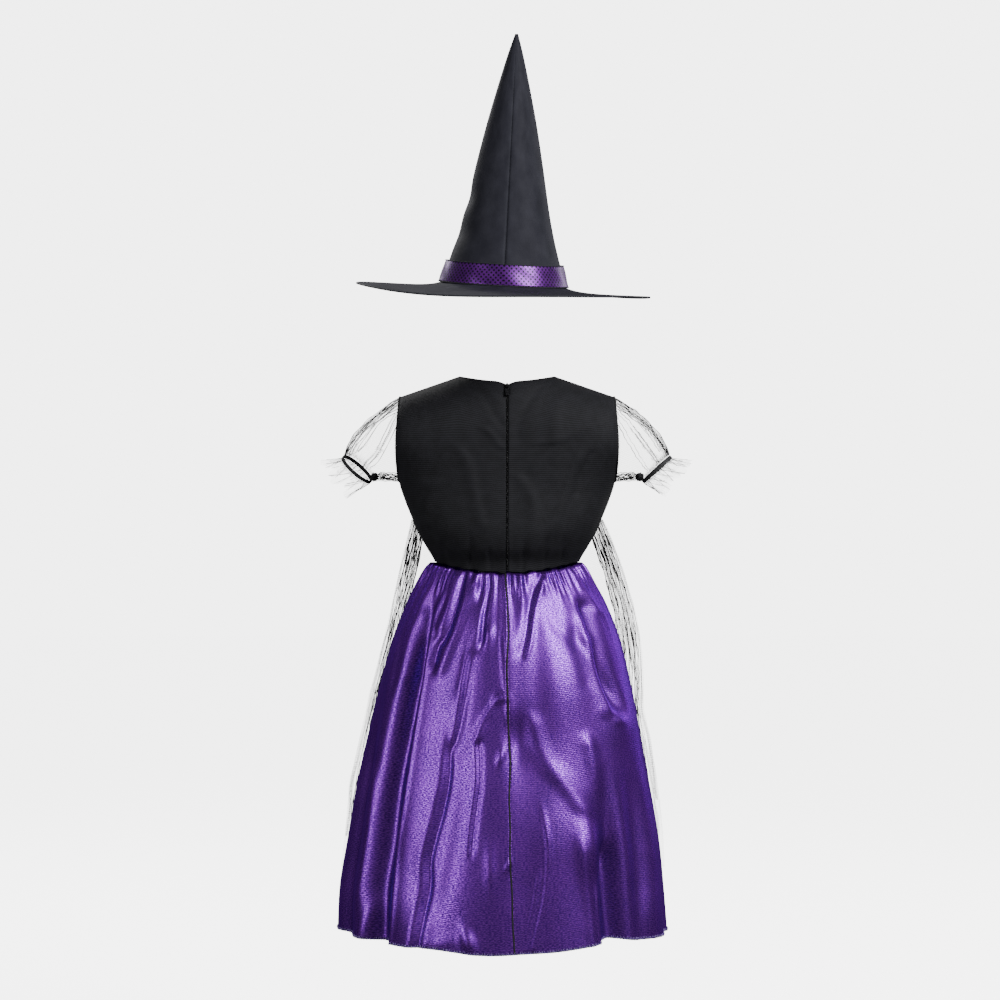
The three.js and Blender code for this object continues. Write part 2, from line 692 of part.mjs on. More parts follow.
function overlayAt(u, v) {
  const edge = lerp(overlay.topEdgeAngle, overlay.hemEdgeAngle, v ** 4) * degree;
  const angle = lerp(-edge, edge, u);
  const facing = Math.cos(angle) ** 2;
  const top = lerp(overlay.sideTop, overlay.centreTop, facing);
  const hem = lerp(overlay.sideHem, overlay.centreHem, facing);
  const z = lerp(top, hem, v);
  const sewn = sectionAt(bodiceSections, 'z', top);
  const off = clothWall / 2 + seamGap + netWall / 2 + overlay.ease;
  const touch = sectionAt(skirtSections, 'z', overlay.touchHeight);
  const fall = THREE.MathUtils.clamp((top - z) / (top - overlay.touchHeight), 0, 1);
  const clear = lerp(overlay.clearTop, overlay.clearHem, smooth(overlay.clearFrom, overlay.touchHeight, z));
  const ease = angle < 0 ? overlay.bulgeLeft : overlay.bulgeRight;
  const bulge = ease * Math.sin(Math.PI * fall) * (1 - facing);
  const power = lerp(2, sewn.power, 1 - fall);
  let halfWidth = lerp(sewn.halfWidth + off, touch.halfWidth + clear, fall) + bulge;
  let depth = lerp(sewn.front + off + halfSeam, touch.depth + clear, fall);
  let shift = sewn.shift * Math.cos(angle);
  if (z < waistAt(Math.PI - angle)) {
    const skirt = sectionAt(skirtSections, 'z', z);
    halfWidth = Math.max(halfWidth, skirt.halfWidth + clear);
    depth = Math.max(depth, skirt.depth + clear);
    shift = lerp(shift, skirt.shift, fall);
  }
  const waving = smooth(overlay.waveStart, overlay.waveFull, v) * (1 - Math.cos(2 * overlay.waves * angle));
  const wave = 0.5 * overlay.waveDepth * waving;
  const sine = Math.abs(Math.sin(angle)) ** (2 / power) * Math.sign(angle);
  const cosine = Math.cos(angle) ** (2 / power);
  return new THREE.Vector3(shift + (halfWidth + wave) * sine, (depth + wave) * cosine, z);
}

const overlayRows = [0, 0.1, 0.22, 0.38, 0.55, 0.77, 1];
const overlayWall = wallOn(overlayAt, { across: 44, along: overlayRows, thickness: netWall });
addPiece(costume, 'overlay_front', overlayWall, 'blackNet');

// Hat

const hat = new THREE.Group();
hat.position.set(hatPlace.x, hatPlace.y, hatPlace.z);
hat.rotation.set(hatPlace.leanBack * degree, hatPlace.leanRight * degree, 0);
costume.add(hat);

const coneTop = coneSections[coneSections.length - 1].z;

for (const side of [-1, 1]) {
  const at = (u, v) => {
    const section = sectionAt(coneSections, 'z', coneTop * v);
    const gap = halfSeam / section.radius;
    const angle = side * lerp(gap, Math.PI - gap, u);
    const x = section.radius * Math.sin(angle);
    const y = -section.radius * Math.cos(angle);
    return new THREE.Vector3(x, y, coneBase + section.z);
  };
  const wall = (v) => Math.min(clothWall, 2 * (sectionAt(coneSections, 'z', coneTop * v).radius - coneTipCore));
  const along = [0, 0.1, 0.25, 0.45, 0.65, 0.85, 0.95, 1];
  const geometry = wallOn(at, { across: 16, along, thickness: wall });
  addPiece(hat, side < 0 ? 'hat_cone_left' : 'hat_cone_right', geometry, 'hatTaffeta');
}

function brimHeight(angle, radius) {
  const share = (radius / brim.radius) ** 2;
  const rise = brim.rise * Math.exp(-(radius - brim.innerRadius) / brim.riseReach);
  const sag = brim.sag * (1 + Math.cos(2 * angle));
  const twist = (brim.twist * Math.sin(2 * angle) * (1 + Math.cos(angle))) / 2;
  return rise + share * (twist - sag);
}

const brimBaseHeight = (angle) => brimHeight(angle, brim.innerRadius) - brim.rise;

const brimAt = (u, v) => {
  const angle = 2 * Math.PI * u;
  const radius = lerp(brim.innerRadius, brim.radius, v);
  const level = brimHeight(angle, radius) - brimBaseHeight(angle) * (1 - smooth(0, brim.level, v));
  return new THREE.Vector3(radius * Math.sin(angle), -radius * Math.cos(angle), level - brim.thickness / 2);
};
const brimRows = [0, 0.06, 0.16, 0.45, 1];
const brimWall = wallOn(brimAt, { across: 40, along: brimRows, thickness: brim.thickness, closed: true });
addPiece(hat, 'hat_brim', brimWall, 'hatTaffeta');

const bandAt = (u, v) => {
  const angle = 2 * Math.PI * u;
  const radius = lerp(band.bottomRadius, band.topRadius, v);
  const sag = band.sag * Math.max(Math.cos(angle), 0);
  const z = band.bottom - sag + band.height * v;
  return new THREE.Vector3(radius * Math.sin(angle), -radius * Math.cos(angle), z);
};
const bandWall = wallOn(bandAt, { across: 40, along: 1, thickness: band.thickness, closed: true });
addPiece(hat, 'hat_band', bandWall, 'bandFoil');

export default costume;
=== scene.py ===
import math

import bmesh
import bpy
import numpy as np
from mathutils import Matrix, Vector


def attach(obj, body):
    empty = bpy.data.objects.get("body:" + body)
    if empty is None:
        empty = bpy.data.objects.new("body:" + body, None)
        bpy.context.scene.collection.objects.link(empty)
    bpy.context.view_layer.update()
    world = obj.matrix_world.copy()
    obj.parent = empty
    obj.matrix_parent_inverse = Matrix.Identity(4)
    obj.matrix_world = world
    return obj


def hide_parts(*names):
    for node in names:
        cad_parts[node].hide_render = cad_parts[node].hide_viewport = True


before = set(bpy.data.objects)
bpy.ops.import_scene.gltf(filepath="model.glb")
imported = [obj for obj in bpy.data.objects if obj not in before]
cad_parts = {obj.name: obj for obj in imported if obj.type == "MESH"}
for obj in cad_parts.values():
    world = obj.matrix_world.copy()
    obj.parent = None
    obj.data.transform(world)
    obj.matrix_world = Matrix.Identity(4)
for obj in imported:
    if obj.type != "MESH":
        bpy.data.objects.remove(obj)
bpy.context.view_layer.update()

# A child's witch costume filled out as if worn, seen from behind: hat, black bodice, purple satin
# skirt with a net panel over its front, and short net sleeves gathered by elastic.
# Tables are in millimetres. The back faces -Y and the wearer's right side is +X.
mm = 0.001
degree = math.pi / 180

print("camera")
view = {"x": -9.1, "z": -159.9, "distance": 4000, "frameWidth": 1300, "sensor": 36}
cameraData = bpy.data.cameras.new("view")
cameraData.sensor_width = view["sensor"]
cameraData.lens = view["sensor"] * view["distance"] / view["frameWidth"]
camera = bpy.data.objects.new("view", cameraData)
camera.location = (view["x"] * mm, -view["distance"] * mm, view["z"] * mm)
camera.rotation_euler = (math.pi / 2, 0, 0)
bpy.context.scene.collection.objects.link(camera)
bpy.context.scene.camera = camera


# numbers and tables

def lerp(a, b, share):
    return a + (b - a) * share


def smooth(low, high, value):
    share = np.clip((value - low) / (high - low), 0, 1)
    return share * share * (3 - 2 * share)


def bump(distance, halfWidth):
    return np.exp(-((distance / halfWidth) ** 2))


def tableAt(rows, key, place):  # every column at these places, on a smooth curve through the rows
    place = np.asarray(place, dtype=float)
    knots = np.array([row[key] for row in rows], dtype=float)
    last = len(rows) - 1
    low = np.searchsorted(knots[1:last], place, side="left")
    high = low + 1
    before = np.maximum(low - 1, 0)
    after = np.minimum(low + 2, last)
    span = knots[high] - knots[low]
    s = np.clip((place - knots[low]) / span, 0, 1)
    result = {}
    for name in rows[0]:
        column = np.array([row[name] for row in rows], dtype=float)
        rise = column[high] - column[low]
        startSlope = (column[high] - column[before]) / (knots[high] - knots[before]) * span
        endSlope = (column[after] - column[low]) / (knots[after] - knots[low]) * span
        curve = 3 * rise - 2 * startSlope - endSlope
        twist = startSlope + endSlope - 2 * rise
        result[name] = column[low] + s * (startSlope + s * (curve + s * twist))
    return result


def asPoints(x, y, z):
    return np.stack(np.broadcast_arrays(x, y, z), axis=-1).astype(float)


def seenPlace(points):  # where the camera sees a point, in the plane through the origin
    reach = view["distance"] / (view["distance"] + points[..., 1])
    x = view["x"] + (points[..., 0] - view["x"]) * reach
    z = view["z"] + (points[..., 2] - view["z"]) * reach
    return x, z


crestShape = {"off": 2, "spread": 1.3}  # in widths of the crease's sharper side


# A crease runs along a line from top to bottom. It sinks by depth (or rises, where that is negative) with
# its own width to the left and right, and may have a crest along its sharper side.
def reliefAt(x, z, creases, spots):
    height = np.zeros(np.shape(x))
    for row in creases:
        line = [{"down": -pz, "x": px} for px, pz in row["line"]]
        middle = tableAt(line, "down", -z)["x"]
        lean = tableAt(line, "down", 1 - z)["x"] - middle
        off = (x - middle) / np.sqrt(1 + lean**2)
        share = (line[0]["down"] + z) / (line[0]["down"] - line[-1]["down"])
        startFade, endFade = row.get("fade", (0.15, 0.15))
        fade = smooth(0, startFade, share) * (1 - smooth(1 - endFade, 1, share))
        left, right = row["width"]
        height -= row["depth"] * fade * bump(off, np.where(off < 0, left, right))
        sharp = right if right < left else -left
        crest = bump(off - crestShape["off"] * sharp, crestShape["spread"] * abs(sharp))
        height += row.get("crest", 0) * fade * crest
    for row in spots:
        turn = row.get("lean", 0) * degree
        dx, dz = x - row["at"][0], z - row["at"][1]
        across = dx * math.cos(turn) + dz * math.sin(turn)
        along = dz * math.cos(turn) - dx * math.sin(turn)
        height += row["height"] * bump(across, row["size"][0]) * bump(along, row["size"][1])
    return height


def gridNormals(points, awayFrom=(0, 0)):
    normal = np.cross(np.gradient(points, axis=1), np.gradient(points, axis=0))
    normal /= np.linalg.norm(normal, axis=-1, keepdims=True) + 1e-9
    away = points[..., :2] - np.array(awayFrom)
    return normal * np.sign(np.sum(normal[..., :2] * away))


# materials

def linearColour(hexColour):
    values = [int(hexColour[i:i + 2], 16) / 255 for i in (1, 3, 5)]
    return [v / 12.92 if v <= 0.04045 else ((v + 0.055) / 1.055) ** 2.4 for v in values] + [1]


def addNode(tree, kind, inputs, **settings):
    node = tree.nodes.new(kind)
    stops = settings.pop("stops", [])
    for name, value in settings.items():
        setattr(node, name, value)
    for socket, value in inputs.items():
        if isinstance(value, bpy.types.NodeSocket):
            tree.links.new(value, node.inputs[socket])
        else:
            node.inputs[socket].default_value = value
    for i, (place, colour) in enumerate(stops):
        stop = node.color_ramp.elements[i] if i < 2 else node.color_ramp.elements.new(place)
        stop.position = place
        stop.color = linearColour(colour)
    return node


def newLook(name):
    look = bpy.data.materials.new(name)
    look.use_nodes = True
    look.node_tree.nodes.clear()
    return look, look.node_tree


def flatPlace(tree):  # on the piece's flat cut, in metres
    return addNode(tree, "ShaderNodeUVMap", {}, uv_map="flat").outputs["UV"]


def solidPlace(tree):
    return addNode(tree, "ShaderNodeTexCoord", {}).outputs["Object"]


def noiseOf(tree, place, size, detail):  # blobs of this size in metres
    inputs = {"Vector": place, "Scale": 1 / size, "Detail": detail}
    return addNode(tree, "ShaderNodeTexNoise", inputs).outputs["Fac"]


def bandsOf(tree, place, period, direction, wander):  # ribs this many metres apart
    inputs = {"Vector": place, "Scale": math.pi / 10 / period, **wander}
    return addNode(tree, "ShaderNodeTexWave", inputs, bands_direction=direction).outputs["Fac"]


def shadeOf(tree, share, *stops):
    return addNode(tree, "ShaderNodeValToRGB", {"Fac": share}, stops=stops).outputs["Color"]


def rangeOf(tree, value, low, high, toLow, toHigh):
    inputs = {"Value": value, "From Min": low, "From Max": high, "To Min": toLow, "To Max": toHigh}
    return addNode(tree, "ShaderNodeMapRange", inputs).outputs["Result"]


def mathOf(tree, operation, *values, clamped=False):
    inputs = dict(enumerate(values))
    return addNode(tree, "ShaderNodeMath", inputs, operation=operation, use_clamp=clamped).outputs["Value"]


def mixOf(tree, share, first, second):  # two colours
    return addNode(tree, "ShaderNodeMix", {0: share, 6: first, 7: second}, data_type="RGBA").outputs[2]


def bumpOf(tree, height, strength, distance, **under):
    inputs = {"Height": height, "Strength": strength, "Distance": distance, **under}
    return addNode(tree, "ShaderNodeBump", inputs).outputs["Normal"]


def shaderOf(tree, inputs):
    return addNode(tree, "ShaderNodeBsdfPrincipled", inputs).outputs["BSDF"]


def openUp(tree, share, first, second):  # one shader where the share is 0, the other where it is 1
    inputs = {0: share, 1: first, 2: second}
    return addNode(tree, "ShaderNodeMixShader", inputs).outputs["Shader"]


def clearGap(tree):
    return addNode(tree, "ShaderNodeBsdfTransparent", {}).outputs["BSDF"]


def closeLook(tree, surface):
    addNode(tree, "ShaderNodeOutputMaterial", {"Surface": surface})


# Polyester satin: long smooth floats give a broad soft shine that breaks into sparks on the weave.
# Its threads are under 0.2 mm apart and are drawn 2.4 mm apart, so that they show.
def makeSkirtSatin():
    look, tree = newLook("skirtSatin")
    flat = flatPlace(tree)
    weft = bandsOf(tree, flat, 0.0024, "Y", {"Distortion": 1.6, "Detail": 2, "Detail Scale": 2})
    floats = addNode(tree, "ShaderNodeMapping", {"Vector": flat, "Scale": (0.3, 1, 1)}).outputs["Vector"]
    grain = noiseOf(tree, floats, 0.0011, 1)
    tone = shadeOf(tree, noiseOf(tree, flat, 0.045, 3), (0.3, "#3a106d"), (0.7, "#551988"))
    thread = shadeOf(tree, grain, (0.4, "#360d64"), (0.62, "#be66f7"))
    weave = bumpOf(tree, mathOf(tree, "ADD", weft, grain), 0.2, 0.0004)
    cockle = bumpOf(tree, noiseOf(tree, flat, 0.018, 2), 0.12, 0.002, Normal=weave)
    closeLook(tree, shaderOf(tree, {
        "Base Color": mixOf(tree, 0.34, tone, thread), "Metallic": 0.9,
        "Roughness": rangeOf(tree, grain, 0.35, 0.65, 0.5, 0.35), "Specular IOR Level": 0.2,
        "Specular Tint": linearColour("#b27af0"), "Normal": cockle}))
    return look


# Polyester crepe with fine crosswise ribs: matt black, a grey bloom where it turns to the light.
# The ribs are about 1 mm apart and are drawn 2.6 mm apart.
def makeRibbedCrepe():
    look, tree = newLook("ribbedCrepe")
    flat = flatPlace(tree)
    ribs = bandsOf(tree, flat, 0.0026, "Y", {"Distortion": 1.2, "Detail": 2, "Detail Scale": 1.5})
    slub = noiseOf(tree, flat, 0.012, 4)
    level = addNode(tree, "ShaderNodeMix", {0: 0.55, 2: ribs, 3: slub}).outputs[0]
    closeLook(tree, shaderOf(tree, {
        "Base Color": shadeOf(tree, level, (0.25, "#0c0c0f"), (0.75, "#1d1d22")), "Roughness": 0.78,
        "Specular IOR Level": 0.22, "Normal": bumpOf(tree, ribs, 0.42, 0.0004)}))
    return look


# Stiffened taffeta: smooth charcoal plain weave, a dull even shine. Its threads are about 0.3 mm apart
# and are drawn 2.2 mm apart.
def makeHatTaffeta():
    look, tree = newLook("hatTaffeta")
    flat = flatPlace(tree)
    warp = bandsOf(tree, flat, 0.0022, "X", {})
    weft = bandsOf(tree, flat, 0.0022, "Y", {})
    cloud = noiseOf(tree, flat, 0.03, 4)
    weave = bumpOf(tree, mathOf(tree, "MULTIPLY", warp, weft), 0.12, 0.0003)
    closeLook(tree, shaderOf(tree, {
        "Base Color": shadeOf(tree, cloud, (0.3, "#1c1c24"), (0.7, "#2a2a32")), "Roughness": 0.72,
        "Specular IOR Level": 0.14, "Normal": bumpOf(tree, cloud, 0.4, 0.001, Normal=weave)}))
    return look


# Foil-printed satin ribbon: mirror-like purple with small dark dots in staggered rows, 4.5 mm apart.
def makeDottedFoil():
    look, tree = newLook("dottedFoil")
    flat = flatPlace(tree)
    turned = addNode(tree, "ShaderNodeMapping", {"Vector": flat, "Rotation": (0, 0, math.pi / 4)})
    dots = addNode(tree, "ShaderNodeTexVoronoi", {"Vector": turned.outputs["Vector"], "Scale": 1 / 0.0045,
                   "Randomness": 0}, voronoi_dimensions="2D").outputs["Distance"]
    crinkle = noiseOf(tree, flat, 0.009, 2)
    foil = shadeOf(tree, crinkle, (0.3, "#490f66"), (0.7, "#5e197e"))
    dot = rangeOf(tree, dots, 0.26, 0.34, 1, 0)
    closeLook(tree, shaderOf(tree, {
        "Base Color": mixOf(tree, dot, foil, linearColour("#0c0318")), "Metallic": 0.65,
        "Roughness": 0.38, "Normal": bumpOf(tree, crinkle, 0.16, 0.001)}))
    return look


# Nylon net: six-sided holes with threads so fine that one layer is hardly seen. The holes are about 1 mm
# wide and are drawn 2.4 mm wide. Where the net is gathered, the bunch attribute closes it.
def makeNet(name, thread, closed):
    look, tree = newLook(name)
    flat = flatPlace(tree)
    holes = addNode(tree, "ShaderNodeTexVoronoi", {"Vector": flat, "Scale": 1 / 0.0024, "Randomness": 0.35},
                    voronoi_dimensions="2D", feature="DISTANCE_TO_EDGE").outputs["Distance"]
    wire = rangeOf(tree, holes, 0.03, 0.13, 1, 0)
    bunch = addNode(tree, "ShaderNodeAttribute", {}, attribute_name="bunch").outputs["Fac"]
    wires = mathOf(tree, "MULTIPLY", wire, mathOf(tree, "MULTIPLY_ADD", bunch, 0.9, thread))
    patchy = rangeOf(tree, noiseOf(tree, flat, 0.0035, 3), 0.4, 0.6, 0.1, 0.9)
    closing = mathOf(tree, "MULTIPLY", bunch, patchy)
    cover = mathOf(tree, "ADD", mathOf(tree, "ADD", wires, closing, clamped=True), closed, clamped=True)
    fibre = shaderOf(tree, {"Base Color": linearColour("#111114"), "Roughness": 0.6})
    closeLook(tree, openUp(tree, cover, clearGap(tree), fibre))
    return look


# Gathered net and sewing thread: many black filaments lying together, matt, with small gaps of light.
# The filaments' tone changes about every 3 mm.
def makeFilament(name, dark, pale, roughness, gaps=0.0):
    look, tree = newLook(name)
    strand = noiseOf(tree, solidPlace(tree), 0.003, 3)
    surface = shaderOf(tree, {"Base Color": shadeOf(tree, strand, (0.35, dark), (0.7, pale)),
                              "Roughness": roughness, "Normal": bumpOf(tree, strand, 0.5, 0.0006)})
    if gaps:
        share = mathOf(tree, "MULTIPLY", rangeOf(tree, strand, 0.35, 0.65, 0, 1), gaps)
        surface = openUp(tree, share, surface, clearGap(tree))
    closeLook(tree, surface)
    return look


# Enamelled zinc: black paint with a hard shine, a little dull where it is handled, in spots of 2 mm.
def makeZipEnamel():
    look, tree = newLook("zipEnamel")
    wear = noiseOf(tree, solidPlace(tree), 0.002, 4)
    closeLook(tree, shaderOf(tree, {
        "Base Color": shadeOf(tree, wear, (0.4, "#141416"), (0.75, "#2c2c30")), "Metallic": 0.3,
        "Roughness": rangeOf(tree, wear, 0, 1, 0.25, 0.5)}))
    return look


print("materials")
looks = {
    "satin": makeSkirtSatin(),
    "crepe": makeRibbedCrepe(),
    "taffeta": makeHatTaffeta(),
    "foil": makeDottedFoil(),
    "net": makeNet("sheerNet", 0.32, 0.01),
    "panelNet": makeNet("panelNet", 0.5, 0.03),
    "gatheredNet": makeFilament("gatheredNet", "#040405", "#111113", 0.8, gaps=0.2),
    "binding": makeFilament("hatBinding", "#121219", "#1e1e27", 0.8),
    "elastic": makeFilament("braidedElastic", "#0a0a0c", "#222226", 0.75),
    "thread": makeFilament("blackThread", "#070708", "#161618", 0.8),
    "lilacThread": makeFilament("lilacThread", "#6d4fa0", "#b9a2dc", 0.6),
    "hemEdge": makeFilament("hemEdge", "#241242", "#4a2a80", 0.6),
    "enamel": makeZipEnamel(),
}


# making pieces

def addObject(name, data):
    piece = bpy.data.objects.new(name, data)
    bpy.context.scene.collection.objects.link(piece)
    return piece


def meshOf(name, shape):
    mesh = bpy.data.meshes.new(name)
    shape.to_mesh(mesh)
    shape.free()
    return mesh


def finishPiece(name, mesh, look, nodes=(), body="costume", rounded=True):
    mesh.materials.append(looks[look])
    mesh.polygons.foreach_set("use_smooth", np.full(len(mesh.polygons), rounded))
    piece = addObject(name, mesh)
    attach(piece, body)
    if nodes:
        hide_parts(*nodes)
    return piece


def acrossOnly(centres):  # outwards from the dress's upright axis
    return centres * (1, 1, 0)


# A sheet on a grid of points, rows by columns, with a map of its flat cut in metres
def clothPiece(name, points, flat, look, nodes=(), thickness=0.6, outward=acrossOnly, closed=False,
               bunch=None):
    rows, columns = points.shape[0] - 1, points.shape[1] - 1
    grid = bmesh.new()
    bmesh.ops.create_grid(grid, x_segments=columns, y_segments=rows, size=0.5)
    mesh = meshOf(name, grid)
    place = np.empty(len(mesh.vertices) * 3, dtype=np.float32)
    mesh.vertices.foreach_get("co", place)
    place = place.reshape(-1, 3)
    column = np.rint((place[:, 0] + 0.5) * columns).astype(int)
    row = np.rint((place[:, 1] + 0.5) * rows).astype(int)
    mesh.vertices.foreach_set("co", (points[row, column] * mm).astype(np.float32).ravel())
    corner = np.empty(len(mesh.loops), dtype=np.int32)
    mesh.loops.foreach_get("vertex_index", corner)
    cut = np.stack([column / columns * flat[0], row / rows * flat[1]], axis=-1).astype(np.float32)
    mesh.uv_layers.new(name="flat").uv.foreach_set("vector", cut[corner].ravel())
    if bunch is not None:
        layer = mesh.attributes.new("bunch", "FLOAT", "POINT")
        layer.data.foreach_set("value", bunch[row, column].astype(np.float32))
    mesh.update()
    normals = np.empty(len(mesh.polygons) * 3, dtype=np.float32)
    centres = np.empty(len(mesh.polygons) * 3, dtype=np.float32)
    mesh.polygons.foreach_get("normal", normals)
    mesh.polygons.foreach_get("center", centres)
    if np.sum(normals.reshape(-1, 3) * outward(centres.reshape(-1, 3))) < 0:
        mesh.flip_normals()
    if closed:
        shell = bmesh.new()
        shell.from_mesh(mesh)
        bmesh.ops.remove_doubles(shell, verts=shell.verts, dist=0.00001)
        shell.to_mesh(mesh)
        shell.free()
    piece = finishPiece(name, mesh, look, nodes)
    if thickness:
        wall = piece.modifiers.new("wall", "SOLIDIFY")
        wall.thickness = thickness * mm
        wall.offset = 0
    return piece


# Threads, seams and gathers: round strands along lists of points
def threadPiece(name, paths, radius, look, nodes=(), sides=1, closed=False, taper=None,
                weights=None):
    curve = bpy.data.curves.new(name, "CURVE")
    curve.dimensions = "3D"
    curve.bevel_depth = radius * mm
    curve.bevel_resolution = sides
    curve.use_fill_caps = True
    for number, path in enumerate(paths):
        spline = curve.splines.new("POLY")
        spline.points.add(len(path) - 1)
        place = np.c_[np.asarray(path) * mm, np.ones(len(path))]
        spline.points.foreach_set("co", place.ravel())
        spline.use_cyclic_u = closed
        swell = np.ones(len(path)) if taper is None else taper(np.linspace(0, 1, len(path)))
        spline.points.foreach_set("radius", swell * (1 if weights is None else weights[number]))
    holder = bpy.data.objects.new(name + "_line", curve)
    mesh = bpy.data.meshes.new_from_object(holder)
    bpy.data.objects.remove(holder)
    bpy.data.curves.remove(curve)
    mesh.name = name
    mesh.materials.clear()
    return finishPiece(name, mesh, look, nodes)


# Gathered net: along each path the cloth is folded to and fro into a narrow bundle
def pleatPiece(name, paths, width, depth, look, folds=4):
    shape = bmesh.new()
    cut = shape.loops.layers.uv.new("flat")
    bunch = shape.verts.layers.float.new("bunch")
    columns = 3 * folds
    for number, path in enumerate(paths):
        steps = len(path) - 1
        made = bmesh.ops.create_grid(shape, x_segments=columns, y_segments=steps, size=0.5)["verts"]
        for vert in made:
            across, along = vert.co.x, vert.co.y + 0.5
            swell = 0.55 + 0.45 * math.sin(5.1 * along + number) * math.sin(math.pi * along)
            fold = math.sin(2 * math.pi * folds * across + 3 * along + number)
            sway = 0.18 * math.sin(19 * along + 2 * number) + 0.12 * math.sin(43 * along)
            place = path[round(along * steps)]
            vert[bunch] = (1 - 2 * abs(across)) * (0.55 + 0.3 * math.sin(11 * along + number))
            vert.co = Vector((place[0] + width * swell * (across + sway), place[1] + depth * swell * fold,
                              place[2])) * mm
            for loop in vert.link_loops:
                loop[cut].uv = ((across * 3 * width + 40 * number) * mm, -place[2] * mm)
    return finishPiece(name, meshOf(name, shape), look)


def smoothPath(points, steps):  # a smooth curve through a few chosen points
    rows = [{"share": i, "x": p[0], "y": p[1], "z": p[2]} for i, p in enumerate(points)]
    path = tableAt(rows, "share", np.linspace(0, len(points) - 1, steps))
    return asPoints(path["x"], path["y"], path["z"])


# the dress's own sizes

bothSides = ((-1, "left"), (1, "right"))
seamGap = 0.3
clothWall = 1.2
waist = {"height": -240, "dipBack": 13, "dipFront": 5, "scallop": 0.9}
hemHeight = -719
yokeHeight = -80
yokeTurn = {"side": 90, "neck": 40}  # degrees through which the cloth bends in above the yoke
armhole = {"x": 138, "height": -81, "halfHeight": 54.6, "halfDepth": 48, "softFrom": -0.35, "sharpness": 5}
underarmHeight = armhole["height"] - armhole["halfHeight"]
armholeSwell = {"depth": 4, "height": -92, "halfHeight": 48, "fromShare": 0.6}
neckHalfWidth = 62
neckBack = {"depth": 52, "drop": 8, "notch": 5}
neckFront = {"depth": 56, "drop": 44, "notch": 0}
notchHalfWidth = 5
shoulderDrop = armhole["height"] + armhole["halfHeight"]
lowerShare = 0.62

bodiceSections = [
    {"z": -262, "halfWidth": 91, "back": 69, "front": 69, "power": 2.0, "shift": -2},
    {"z": -240, "halfWidth": 94, "back": 70, "front": 70, "power": 2.0, "shift": -2},
    {"z": -222, "halfWidth": 104, "back": 79, "front": 77, "power": 2.1, "shift": -2},
    {"z": -201, "halfWidth": 116, "back": 83, "front": 82, "power": 2.2, "shift": -1},
    {"z": -181, "halfWidth": 124, "back": 82, "front": 85, "power": 2.3, "shift": 0},
    {"z": -160, "halfWidth": 132, "back": 80, "front": 86, "power": 2.3, "shift": 0},
    {"z": -136, "halfWidth": 138, "back": 78, "front": 85, "power": 2.3, "shift": 0},
    {"z": -80, "halfWidth": 138, "back": 76, "front": 79, "power": 2.3, "shift": 0},
]
bodiceGathers = {"perQuarter": 5, "depth": 1.8, "reach": 0.22, "unevenness": 0.8}

skirtSections = [
    {"z": -725, "halfWidth": 215, "depth": 175, "shift": -5},
    {"z": -660, "halfWidth": 211, "depth": 170, "shift": -6},
    {"z": -600, "halfWidth": 203, "depth": 163, "shift": -4},
    {"z": -529, "halfWidth": 191, "depth": 152, "shift": -4},
    {"z": -467, "halfWidth": 178, "depth": 140, "shift": -3},
    {"z": -400, "halfWidth": 163, "depth": 127, "shift": -2},
    {"z": -342, "halfWidth": 148, "depth": 113, "shift": -1},
    {"z": -295, "halfWidth": 130, "depth": 98, "shift": -1},
    {"z": -264, "halfWidth": 114, "depth": 86, "shift": -2},
    {"z": -246, "halfWidth": 103, "depth": 77, "shift": -2},
    {"z": -238, "halfWidth": 94, "depth": 70, "shift": -2},
]
skirtGathers = {"count": 32, "depth": 4.4, "reach": 0.13, "unevenness": 1.1}
pucker = {"count": 70, "depth": 1.9, "reach": 0.05}

# large folds: angles at the waist and hem from the centre back, depth, half width, start and end
skirtFolds = [
    {"top": -76, "hem": -71, "depth": 10, "halfWidth": 6, "start": 0.3, "end": 2},
    {"top": -50, "hem": -50, "depth": 23, "halfWidth": 6, "start": 0.02, "end": 2},
    {"top": -10, "hem": -28, "depth": 7, "halfWidth": 6, "start": 0.35, "end": 2},
    {"top": 14, "hem": 9, "depth": 4, "halfWidth": 8, "start": 0.08, "end": 2},
    {"top": 22, "hem": 117, "depth": 7, "halfWidth": 6, "start": 0.06, "end": 0.44},
    {"top": 36, "hem": 43, "depth": 26, "halfWidth": 6, "start": 0.5, "end": 2},
    {"top": 60, "hem": 58, "depth": 11, "halfWidth": 7, "start": 0.45, "end": 2},
    {"top": 88, "hem": 83, "depth": 8, "halfWidth": 6, "start": 0.35, "end": 2},
    {"top": 110, "hem": 106, "depth": 16, "halfWidth": 7, "start": 0.1, "end": 2},
    {"top": 133, "hem": 130, "depth": 20, "halfWidth": 7, "start": 0.2, "end": 2},
    {"top": 158, "hem": 154, "depth": 14, "halfWidth": 7, "start": 0.05, "end": 2},
    {"top": 182, "hem": 178, "depth": 18, "halfWidth": 8, "start": 0.25, "end": 2},
    {"top": 204, "hem": 205, "depth": 15, "halfWidth": 7, "start": 0.08, "end": 2},
    {"top": 229, "hem": 231, "depth": 19, "halfWidth": 7, "start": 0.15, "end": 2},
    {"top": 254, "hem": 257, "depth": 13, "halfWidth": 6, "start": 0.1, "end": 2},
]
foldEase = {"forming": 0.3, "fading": 0.12}
hemDrops = [
    {"at": -5, "drop": 8, "halfWidth": 16},
    {"at": 16, "drop": 4, "halfWidth": 12},
    {"at": 43, "drop": -5, "halfWidth": 9},
    {"at": -80, "drop": -5, "halfWidth": 22},
]
backSeam = {"width": 1.7, "drift": 3.5, "raise": 0.8, "steps": 240, "cut": (0.0042, 0.49),
            "crossings": 300, "stitchReach": 1.1, "stitchRaise": 0.7, "threadRadius": 0.3}
seamRidge = [(-1.5, -0.9), (-0.8, 0.3), (0, 0.7), (0.8, 0.3), (1.5, -0.9)]  # shares of half width and raise


# skirt

